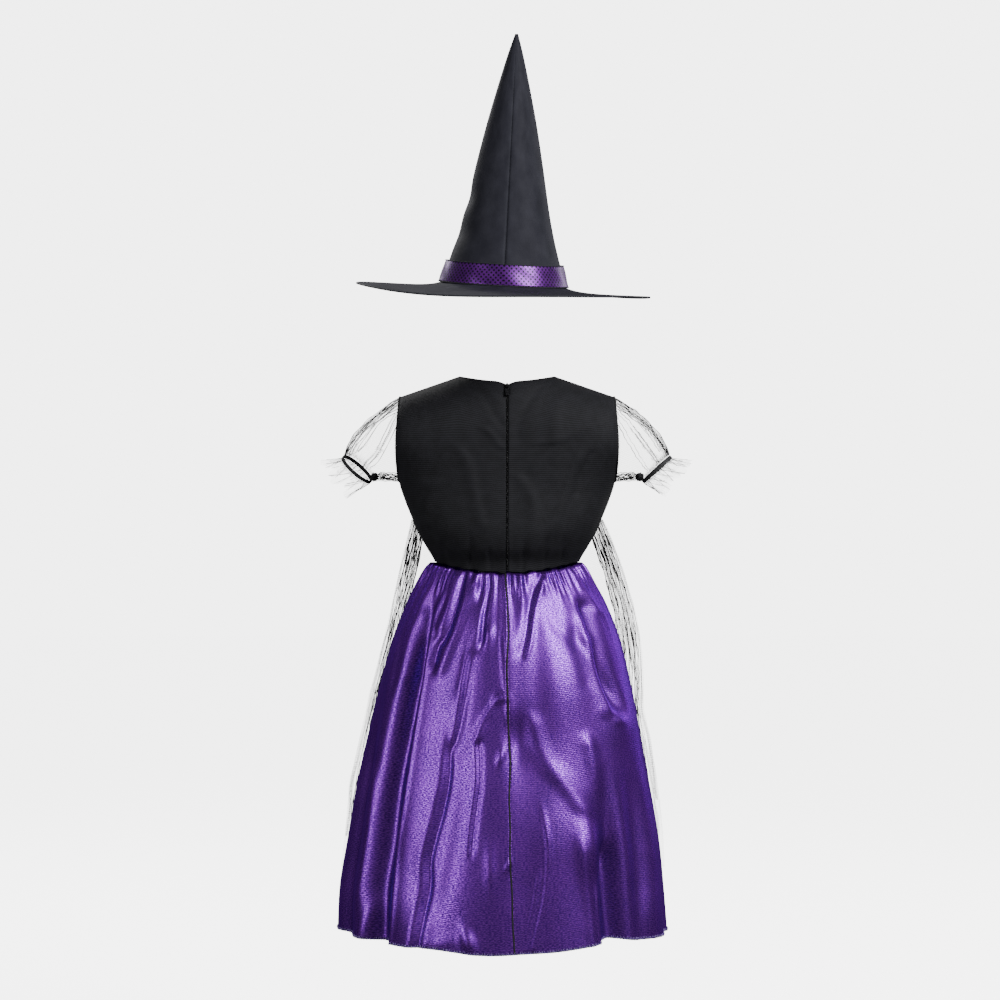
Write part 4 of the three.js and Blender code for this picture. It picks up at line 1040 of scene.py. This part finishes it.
def ringAt(ring, turn, side, cuffShare, swell=0):
    yaw = (cuffTurn["left"] if side < 0 else 0) * degree * np.asarray(cuffShare)
    tilt = np.asarray(ring["tilt"]) * degree
    high = (ring["halfHeight"] + swell) * np.cos(turn)
    deep = (ring["halfDepth"] + swell) * np.sin(turn)
    x = ring["x"] + high * np.sin(tilt) + deep * np.sin(yaw) * np.cos(tilt)
    y = -deep * np.cos(yaw)
    z = ring["z"] + high * np.cos(tilt) - deep * np.sin(yaw) * np.sin(tilt)
    return asPoints(side * x, y, z)


def sleeveAt(turn, v, side, extra=0):
    upper = 0.5 * (1 + np.cos(turn))
    fullness = smooth(0, sleeveGathers["full"], v) * (1 - smooth(sleeveGathers["fading"], 1, v))
    swell = sleeveGathers["depth"] * upper * fullness * np.cos(sleeveGathers["count"] * turn) + extra
    place = ringAt(tableAt(sleeveRings, "share", v), turn, side, smooth(cuffTurn["start"], 1, v), swell)
    off = armholeSwell["depth"] * bump(place[..., 2] - armholeSwell["height"], armholeSwell["halfHeight"])
    place[..., 0] += side * off * (1 - smooth(0, 0.3, v))
    return place


def ruffleAt(turn, v, side, extra=0):
    ragged = 0.7 + 0.2 * np.cos(5 * turn + side) + 0.1 * np.sin(13 * turn)
    v = v * ragged
    swell = ruffleWaves["depth"] * v * np.cos(ruffleWaves["count"] * turn) + extra
    return ringAt(tableAt(ruffleRings, "share", v), turn, side, 1, swell)


# The net's own point nearest to a place seen from behind (or from in front)
def ontoSleeve(x, z, side, back=True):
    shares = np.linspace(0, 1, 80)
    rings = tableAt(sleeveRings, "share", shares)
    tilt = rings["tilt"] * degree
    dx, dz = abs(x) - rings["x"], z - rings["z"]
    i = int(np.argmin(np.abs(dx * np.cos(tilt) - dz * np.sin(tilt))))
    high = dx[i] * np.sin(tilt[i]) + dz[i] * np.cos(tilt[i])
    turn = math.acos(max(-1, min(1, high / rings["halfHeight"][i])))
    return sleeveAt(turn if back else -turn, shares[i], side, strandLook["lift"])


# gathers that show as dark strands: x and z as the camera sees them, for the left and right sleeve
sleeveStrands = {
    -1: [[(-139, -33), (-168, -57), (-189, -82), (-202, -103)],
         [(-140, -43), (-166, -60), (-186, -84), (-199, -101)],
         [(-143, -48), (-164, -88), (-168, -98), (-187, -118)],
         [(-139, -30), (-172, -52), (-191, -72), (-204, -98)],
         [(-141, -58), (-155, -84), (-172, -110), (-184, -122)]],
    1: [[(139, -35), (173, -57), (186, -78), (200, -98)],
        [(142, -29), (179, -56), (195, -78), (208, -99)],
        [(161, -65), (178, -86), (192, -105), (196, -112)],
        [(140, -42), (160, -62), (180, -88), (194, -108)],
        [(141, -55), (158, -82), (174, -108), (184, -122)]],
}
strandLook = {"radius": 0.42, "steps": 46, "wander": 0.8, "lift": 0.6, "topCount": 9, "topSpacing": 0.17,
              "ruffleCount": 22, "ruffleLean": 0.35, "weights": (1.1, 0.75, 0.75)}
netPleats = {"fromStrands": 6, "fromTop": (6, 3), "width": 7, "depth": 1.6}
sleeveGrid = {"around": 144, "along": 40}
sleeveCut = {"width": 0.26, "length": 0.1, "ruffleShare": 0.46, "ruffleLength": 0.034}
sleeveMiddle = (0, 0, -0.108)
cuffBand = {"cut": (0.15, 0.0045), "thickness": 0.9, "ribs": 9, "ribDepth": 0.35, "gathers": 48,
            "gatherDepth": 0.3}
around = np.linspace(0, 2 * math.pi, sleeveGrid["around"] + 1)[None, :]
along = np.linspace(0, 1, sleeveGrid["along"] + 1)[:, None]


def fromSleeve(centres):
    return (centres - sleeveMiddle) * (0, 1, 1)


def sheerTube(name, points, length, node, bunch):
    return clothPiece(name, points, (sleeveCut["width"], length), "net", [node], thickness=0,
                      outward=fromSleeve, closed=True, bunch=bunch)


def makeSleeveNet(side, name):
    pleats = 0.7 * np.cos(31 * around + 1.3 * np.sin(4 * around)) * (bump(along, 0.3) + bump(1 - along, 0.22))
    bunch = 0.4 * bump(along, 0.04) + 0.7 * bump(1 - along, 0.06)
    bunch = bunch + 0.5 * bump(1 - np.cos(around), 0.11) * (0.6 + 0.4 * np.sin(17 * around + 4 * along))
    bunch = bunch + 0.1 * np.maximum(np.cos(31 * around), 0) * bump(1 - along, 0.3)
    return sheerTube("sleeve_net_" + name, sleeveAt(around, along, side, pleats), sleeveCut["length"],
                     "sleeve_" + name, bunch)


def makeRuffleNet(side, name):
    flutes = np.cos(16 * around + 2 * np.sin(3 * around))
    bunch = 0.6 * bump(along, 0.1) + 0.3 * np.maximum(flutes, 0) ** 4
    return sheerTube("ruffle_net_" + name, ruffleAt(around, along, side, 1.9 * flutes * along),
                     sleeveCut["ruffleLength"], "cuff_ruffle_" + name, bunch)


def seenStrands(side):  # the gathers that show, on the back of the sleeve and again on its front
    paths = []
    for number, seen in enumerate(sleeveStrands[side]):
        for back in (True, False):
            path = smoothPath([ontoSleeve(x, z, side, back) for x, z in seen], strandLook["steps"])
            run = np.linspace(0, 1, len(path))
            shake = strandLook["wander"] * np.sin(41 * run + 3 * number) * np.sin(17 * run + number)
            path[:, 2] += shake
            path[:, 0] += 0.5 * shake
            paths.append(path)
    return paths


def topStrands(side):
    paths = []
    run = np.linspace(0.01, 0.99, 50)
    for number in range(strandLook["topCount"]):
        turn = (number - 0.5 * (strandLook["topCount"] - 1)) * strandLook["topSpacing"]
        turn = turn + 0.12 * np.sin(7 * run + 2.3 * number) * np.sin(math.pi * run)
        paths.append(sleeveAt(turn, run, side, 0.5 + 0.5 * np.sin(31 * run + number)))
    return paths


def ruffleStrands(side):
    paths = []
    run = np.linspace(0, 1, 18)
    for number in range(strandLook["ruffleCount"]):
        turn = 2 * math.pi * (number + 0.3 * math.sin(3 * number)) / strandLook["ruffleCount"]
        lean = strandLook["ruffleLean"] * run * math.sin(number * 2.1)
        paths.append(ruffleAt(turn + lean, run * (0.75 + 0.3 * (number % 2)), side, 0.5 + 1.2 * run))
    return paths


def makeCuffBand(side, name):
    ribs = np.linspace(-0.5, 0.5, cuffBand["ribs"])[:, None]
    tilt = elastic["tilt"] * degree
    ring = {"x": elastic["x"] + ribs * elastic["width"] * math.cos(tilt),
            "z": elastic["z"] - ribs * elastic["width"] * math.sin(tilt),
            "halfHeight": elastic["halfHeight"], "halfDepth": elastic["halfDepth"], "tilt": elastic["tilt"]}
    shirring = (cuffBand["ribDepth"] * np.cos(math.pi * (cuffBand["ribs"] - 1) * ribs)
                + cuffBand["gatherDepth"] * np.cos(cuffBand["gathers"] * around))
    clothPiece("cuff_band_" + name, ringAt(ring, around, side, 1, shirring), cuffBand["cut"], "elastic",
               ["cuff_elastic_" + name], thickness=cuffBand["thickness"], outward=fromSleeve,
               closed=True)


def makeUnderarmBunch(side, name):  # the seam's net, drawn together and twisted
    run = np.linspace(0, 1, underarm["steps"])
    bundle = []
    for number in range(underarm["strands"]):
        x = side * lerp(underarm["start"], underarm["end"] - 3 * (number % 3), run)
        spin = 2 * math.pi * number / underarm["strands"] + 3.1 * run * (1 if number % 2 else -0.8)
        fill = 0.4 + 0.6 * (0.618 * number % 1)
        size = underarm["radius"] * fill * (0.8 + 0.3 * np.sin(9 * run + 1.7 * number))
        z = underarm["height"] + underarm["rise"] * run + size * np.sin(spin)
        bundle.append(asPoints(x, underarm["deeper"] * size * np.cos(spin), z))
    threadPiece("underarm_seam_" + name, bundle, underarm["threadRadius"], "gatheredNet",
                ["sleeve_seam_" + name])


def makeCuffKnot(side, name):  # a ball of net with its folds pressed in
    ball = bmesh.new()
    bmesh.ops.create_icosphere(ball, subdivisions=4, radius=1)
    for vert in ball.verts:
        p = vert.co
        folds = math.sin(9 * p.x + 5 * p.z + side) * math.sin(8 * p.z - 6 * p.y)
        knot = Vector((p.x * cuffKnot["size"][0], p.y * cuffKnot["size"][1], p.z * cuffKnot["size"][2]))
        vert.co = knot * (cuffKnot["fullness"] + cuffKnot["foldDepth"] * folds)
    bmesh.ops.translate(ball, vec=(side * cuffKnot["x"], 0, cuffKnot["z"]), verts=ball.verts)
    bmesh.ops.scale(ball, vec=(mm, mm, mm), verts=ball.verts)
    finishPiece("cuff_knot_fold_" + name, meshOf("cuff_knot_fold_" + name, ball), "elastic",
                ["cuff_knot_" + name])


print("sleeves")
for side, name in bothSides:
    makeSleeveNet(side, name)
    makeRuffleNet(side, name)
    seen, top = seenStrands(side), topStrands(side)
    strands = seen + top + ruffleStrands(side)
    weights = [strandLook["weights"][number % 3] for number in range(len(strands))]
    threadPiece(
        "sleeve_gathers_" + name, strands, strandLook["radius"], "gatheredNet", sides=1,
        taper=lambda s: 0.6 + 0.5 * np.abs(np.sin(9 * s)) * (1 - s * 0.3), weights=weights)
    pleatPaths = seen[:netPleats["fromStrands"]] + [top[number] for number in netPleats["fromTop"]]
    pleatPiece("sleeve_pleats_" + name, pleatPaths, netPleats["width"],
                                             netPleats["depth"], "net")
    makeCuffBand(side, name)
    makeUnderarmBunch(side, name)
    makeCuffKnot(side, name)


# net over the front of the skirt

overlay = {"sideTop": -185, "centreTop": -234, "sideHem": -640, "centreHem": -668, "touchHeight": -430,
           "topEdgeAngle": 89, "hemEdgeAngle": 77, "clearTop": 5.4, "clearFrom": -260, "clearHem": 8,
           "bulgeLeft": 1, "bulgeRight": 17, "waves": 9, "waveDepth": 4.5, "waveStart": 0.02,
           "waveFull": 0.9, "ease": 0.5, "netWall": 1.0}


# A point of the net panel: angle 0 at the centre front, 90 degrees at the sides
def overlayPoint(angle, z, top, v):
    facing = np.cos(angle) ** 2
    sewn = tableAt(bodiceSections, "z", top)
    off = clothWall / 2 + seamGap + overlay["netWall"] / 2 + overlay["ease"]
    touch = tableAt(skirtSections, "z", overlay["touchHeight"])
    fall = np.clip((top - z) / (top - overlay["touchHeight"]), 0, 1)
    lowered = smooth(overlay["clearFrom"], overlay["touchHeight"], z)
    clear = lerp(overlay["clearTop"], overlay["clearHem"], lowered)
    ease = np.where(angle < 0, overlay["bulgeLeft"], overlay["bulgeRight"])
    bulge = ease * np.sin(math.pi * fall) * (1 - facing)
    power = lerp(2, sewn["power"], 1 - fall)
    halfWidth = lerp(sewn["halfWidth"] + off, touch["halfWidth"] + clear, fall) + bulge
    depth = lerp(sewn["front"] + off, touch["depth"] + clear, fall)
    shift = sewn["shift"] * np.cos(angle)
    skirt = tableAt(skirtSections, "z", z)
    belowWaist = z < waistAt(math.pi - angle)
    halfWidth = np.where(belowWaist, np.maximum(halfWidth, skirt["halfWidth"] + clear), halfWidth)
    depth = np.where(belowWaist, np.maximum(depth, skirt["depth"] + clear), depth)
    shift = np.where(belowWaist, lerp(shift, skirt["shift"], fall), shift)
    waving = smooth(overlay["waveStart"], overlay["waveFull"], v) * (1 - np.cos(2 * overlay["waves"] * angle))
    wave = 0.5 * overlay["waveDepth"] * waving
    sine = np.abs(np.sin(angle)) ** (2 / power) * np.sign(angle)
    cosine = np.maximum(np.cos(angle), 0) ** (2 / power)
    return asPoints(shift + (halfWidth + wave) * sine, (depth + wave) * cosine, z)


def overlayAt(u, v):
    edge = lerp(overlay["topEdgeAngle"], overlay["hemEdgeAngle"], v**4) * degree
    angle = lerp(-edge, edge, u)
    facing = np.cos(angle) ** 2
    top = lerp(overlay["sideTop"], overlay["centreTop"], facing)
    hemEdge = lerp(overlay["sideHem"], overlay["centreHem"], facing)
    return overlayPoint(angle, lerp(top, hemEdge, v), top, v)


# gathered pleats along the panel's two edges, from the underarm down, as shares of its half width
edgePleats = {"count": 15, "first": 0.88, "last": 0.996, "edge": 0.998, "longest": 0.97, "shortest": 0.5,
              "steps": 84, "wander": 0.012, "flutter": 0.004, "radius": 0.42, "weights": (1.7, 0.7, 0.6),
              "bundleWidth": 8, "bundleDepth": 2.2}
overlayRipple = {"depth": 1.1, "count": 64, "formed": 0.25, "edge": 0.01}

print("net panel")
overlayGrid = {"columns": 260, "rows": 130}
overlayCut = {"width": 0.58, "length": 0.47}
over = np.linspace(0, 1, overlayGrid["columns"] + 1)[None, :]
down = np.linspace(0, 1, overlayGrid["rows"] + 1)[:, None]
points = overlayAt(over, down)
normal = gridNormals(points)
turns = overlayRipple["count"] * over + 5 * np.sin(3 * over) + 1.2 * down
ripple = overlayRipple["depth"] * np.sin(turns) * smooth(0, overlayRipple["formed"], down)
leftEdge, rightEdge = bump(over, overlayRipple["edge"]), bump(1 - over, overlayRipple["edge"])
points = points + normal * (ripple * (1 - leftEdge) * (1 - rightEdge))[..., None]
bunch = 0.5 * bump(down, 0.012) + 0.25 * leftEdge + 0.25 * rightEdge + 0.2 * bump(1 - down, 0.006)
clothPiece("overlay_net", points, (overlayCut["width"], overlayCut["length"]),
                                  "panelNet", ["overlay_front"], thickness=0, bunch=bunch)
strands = []
pleatPaths = []
for side in (-1, 1):
    for number in range(edgePleats["count"]):
        outwards = lerp(edgePleats["first"], edgePleats["last"], number / (edgePleats["count"] - 1))
        reach = math.asin(outwards) * (1 / degree / overlay["topEdgeAngle"])
        longest = lerp(edgePleats["longest"], edgePleats["shortest"], 0.5 + 0.5 * math.sin(2.6 * number + side))
        steps = np.linspace(0, 1, edgePleats["steps"])
        share = reach + edgePleats["wander"] * np.sin(7 * steps + 1.9 * number) * steps
        share = share + edgePleats["flutter"] * np.sin(31 * steps + number)
        path = overlayAt(0.5 + 0.5 * side * np.minimum(share, edgePleats["edge"]), steps * longest)
        if number % 3 == 2:
            pleatPaths.append(path)
        for pair in (0, 1):
            copy = path.copy()
            copy[:, 0] += 0.6 * np.sin(57 * steps + number + 2 * pair) + 0.7 * pair
            copy[:, 1] += 1.5 * pair + 0.8 * np.sin(23 * steps + pair)
            strands.append(copy)
weights = [edgePleats["weights"][number // 2 % 3] for number in range(len(strands))]
threadPiece(
    "overlay_gathers", strands, edgePleats["radius"], "gatheredNet", weights=weights,
    taper=lambda s: (0.6 + 0.5 * np.abs(np.sin(13 * s)) ** 2) * (1.15 - 0.6 * s))
pleatPiece("overlay_pleats", pleatPaths, edgePleats["bundleWidth"],
                                        edgePleats["bundleDepth"], "panelNet")


# hat

hatPlace = {"x": -4.8, "y": 0, "z": 114.4, "leanBack": 4.7, "leanRight": 3}
hatTurn = (Matrix.Rotation(hatPlace["leanBack"] * degree, 3, "X")
           @ Matrix.Rotation(hatPlace["leanRight"] * degree, 3, "Y"))
coneBase = 8
coneSections = [
    {"z": 0, "radius": 79.4},
    {"z": 34, "radius": 69.6},
    {"z": 60, "radius": 62.6},
    {"z": 107, "radius": 52},
    {"z": 154, "radius": 43},
    {"z": 201, "radius": 33},
    {"z": 248, "radius": 21.8},
    {"z": 295, "radius": 9.6},
    {"z": 321, "radius": 1.7},
]
# dents and creases of the cone: angle from the centre back, height, sizes and depth
coneDents = [
    {"angle": -78, "z": 107, "size": (26, 16), "depth": 3},
    {"angle": -70, "z": 62, "size": (30, 16), "depth": 2.6},
    {"angle": -14, "z": 18, "size": (16, 9), "depth": 1.4},
    {"angle": 60, "z": 150, "size": (30, 40), "depth": 1.2},
    {"angle": 120, "z": 80, "size": (30, 30), "depth": 2},
    {"angle": -130, "z": 140, "size": (30, 34), "depth": 1.8},
    {"angle": 172, "z": 40, "size": (22, 14), "depth": 1.6},
]
coneSeam = {"depth": 0.6, "halfWidth": 1.6, "fullRadius": 40}
coneCrinkle = {"count": 9, "depth": 0.7, "reach": 30, "start": 12}
coneCut = {"width": 0.255, "length": 0.33, "area": 0.042, "thickness": 0.8, "rows": 110, "columns": 61}
brim = {"innerRadius": 77.5, "radius": 190.5, "thickness": 3, "rise": 7.7, "riseReach": 16, "sag": 2.75,
        "twist": 4.4, "level": 0.3, "ripple": 0.5, "shell": 2.2, "bindingRadius": 1.2, "bindingSteps": 240}
brimCut = {"square": (0.385, 0.385), "area": 0.095, "unrolled": (0.6, 0.113)}  # the weave runs round it
band = {"bottomRadius": 84.5, "topRadius": 76.8, "height": 26.5, "bottom": 7.2, "sag": 1.6, "wrinkle": 0.5,
        "hollow": 1.2, "thickness": 0.6, "rows": 25, "edgeOut": 0.1, "edgeRadius": 0.7, "edgeSteps": 200}
bandCut = {"flat": (0.51, 0.0275), "drawn": (0.51, 0.027)}  # as cut, and as the dots are laid out


def inHat(points):
    return points @ np.array(hatTurn).T + (hatPlace["x"], hatPlace["y"], hatPlace["z"])


def coneAt(angle, z):
    radius = tableAt(coneSections, "z", z)["radius"] + 0 * angle
    for row in coneDents:
        around = turnBetween(angle / degree, row["angle"])
        radius = radius - row["depth"] * bump(around, row["size"][0]) * bump(z - row["z"], row["size"][1])
    creased = coneCrinkle["depth"] * np.sin(coneCrinkle["count"] * angle + 0.05 * z)
    creased = creased * bump(z, coneCrinkle["reach"]) * smooth(0, coneCrinkle["start"], z)
    seam = coneSeam["depth"] * bump(radius * np.sin(angle), coneSeam["halfWidth"])
    radius = radius + creased - seam * smooth(0, coneSeam["fullRadius"], radius)
    return asPoints(radius * np.sin(angle), -radius * np.cos(angle), coneBase + z)


def fromHatAxis(centres):
    return (centres - (hatPlace["x"] * mm, 0, 0)) * (1, 1, 0)


def upwards(centres):
    return np.array([[0, 0, 1]]) + 0 * centres


print("hat")
up = np.linspace(0, coneSections[-1]["z"], coneCut["rows"])[:, None]
for side, name in bothSides:
    angle = side * np.linspace(0, math.pi, coneCut["columns"])[None, :]
    clothPiece(
        "cone_panel_" + name, inHat(coneAt(angle, up)), (coneCut["width"], coneCut["length"]), "taffeta",
        ["hat_cone_" + name], thickness=coneCut["thickness"], outward=fromHatAxis)


def brimHeight(angle, radius):
    share = (radius / brim["radius"]) ** 2
    rise = brim["rise"] * np.exp(-(radius - brim["innerRadius"]) / brim["riseReach"])
    sag = brim["sag"] * (1 + np.cos(2 * angle))
    twist = brim["twist"] * np.sin(2 * angle) * (1 + np.cos(angle)) / 2
    return rise + share * (twist - sag)


def brimAt(angle, v):
    radius = lerp(brim["innerRadius"], brim["radius"], v)
    base = brimHeight(angle, brim["innerRadius"]) - brim["rise"]
    level = brimHeight(angle, radius) - base * (1 - smooth(0, brim["level"], v))
    ripple = brim["ripple"] * np.sin(5 * angle + 1) * v**3
    return asPoints(radius * np.sin(angle), -radius * np.cos(angle), level + ripple - brim["thickness"] / 2)


around = np.linspace(0, 2 * math.pi, 201)[None, :]
outwards = np.concatenate([np.linspace(0, 0.2, 14), np.linspace(0.2, 1, 30)[1:]])[:, None]
clothPiece("brim_disc", inHat(brimAt(around, outwards)), brimCut["unrolled"], "taffeta",
                               ["hat_brim"], thickness=brim["shell"], outward=upwards,
                               closed=True)
rimTurns = np.linspace(0, 2 * math.pi, brim["bindingSteps"], endpoint=False)
threadPiece("brim_binding", [inHat(brimAt(rimTurns, 1.0))], brim["bindingRadius"], "binding",
            closed=True)


def bandAt(angle, v, out=0):
    radius = lerp(band["bottomRadius"], band["topRadius"], v) + out
    sag = band["sag"] * np.maximum(np.cos(angle), 0)
    z = band["bottom"] - sag + band["height"] * v
    return asPoints(radius * np.sin(angle), -radius * np.cos(angle), z)


tall = np.linspace(0, 1, band["rows"])[:, None]
slack = band["wrinkle"] * np.sin(11 * around + 3 * tall) * np.sin(math.pi * tall)
slack = slack - band["hollow"] * (tall - 0.5) ** 2
clothPiece("band_ribbon", inHat(bandAt(around, tall, slack)), bandCut["drawn"], "foil",
                               ["hat_band"], thickness=band["thickness"], closed=True)
edgeTurns = np.linspace(0, 2 * math.pi, band["edgeSteps"], endpoint=False)
for name, share in (("top", 1.01), ("bottom", -0.02)):
    path = inHat(bandAt(edgeTurns, share, band["edgeOut"]))
    threadPiece("band_binding_" + name, [path], band["edgeRadius"], "binding", closed=True)


# floor and light

print("floor and lights")
floor = {"height": -0.95, "radius": 14, "glow": 4.7, "tooth": 1 / 60}
surroundings = {"seen": 4.9, "light": 0.13}


def makeFloor():  # lit paper: seen white, and throwing no light on the cloth
    disc = bmesh.new()
    bmesh.ops.create_circle(disc, cap_ends=True, segments=96, radius=floor["radius"])
    bmesh.ops.translate(disc, vec=(0, 0, floor["height"]), verts=disc.verts)
    mesh = meshOf("floor", disc)
    look, tree = newLook("paper")
    tooth = noiseOf(tree, solidPlace(tree), floor["tooth"], 2)
    closeLook(tree, shaderOf(tree, {
        "Base Color": shadeOf(tree, tooth, (0.3, "#f6f6f6"), (0.7, "#fafafa")), "Roughness": 0.95,
        "Specular IOR Level": 0.1, "Emission Color": linearColour("#ffffff"),
        "Emission Strength": floor["glow"]}))
    mesh.materials.append(look)
    piece = addObject("floor", mesh)
    piece.visible_diffuse = False
    piece.visible_glossy = False


makeFloor()

softLights = [
    {"name": "key", "place": (2.15, -1.95, 1.75), "aim": (0, 0, -0.3), "size": 1.2, "power": 185},
    {"name": "fill", "place": (-2.1, -2.05, 0.2), "aim": (0, 0, -0.3), "size": 1.1, "power": 40},
    {"name": "front_key", "place": (-1.5, 2.4, 1.7), "aim": (0, 0, -0.3), "size": 1.4, "power": 60},
    {"name": "front_fill", "place": (2.2, 2.1, 0.5), "aim": (0, 0, -0.3), "size": 1.4, "power": 22},
]
for row in softLights:
    data = bpy.data.lights.new(row["name"], "AREA")
    data.size = row["size"]
    data.energy = row["power"]
    lamp = addObject(row["name"], data)
    lamp.location = row["place"]
    lamp.rotation_euler = (Vector(row["aim"]) - Vector(row["place"])).to_track_quat("-Z", "Y").to_euler()

world = bpy.data.worlds.new("studio")
world.use_nodes = True
world.node_tree.nodes.clear()
seen = addNode(world.node_tree, "ShaderNodeLightPath", {}).outputs["Is Camera Ray"]
level = addNode(world.node_tree, "ShaderNodeMapRange", {"Value": seen, "To Min": surroundings["light"],
                "To Max": surroundings["seen"]})
air = addNode(world.node_tree, "ShaderNodeBackground", {"Color": linearColour("#ffffff"),
              "Strength": level.outputs["Result"]})
addNode(world.node_tree, "ShaderNodeOutputWorld", {"Surface": air.outputs["Background"]})
bpy.context.scene.world = world
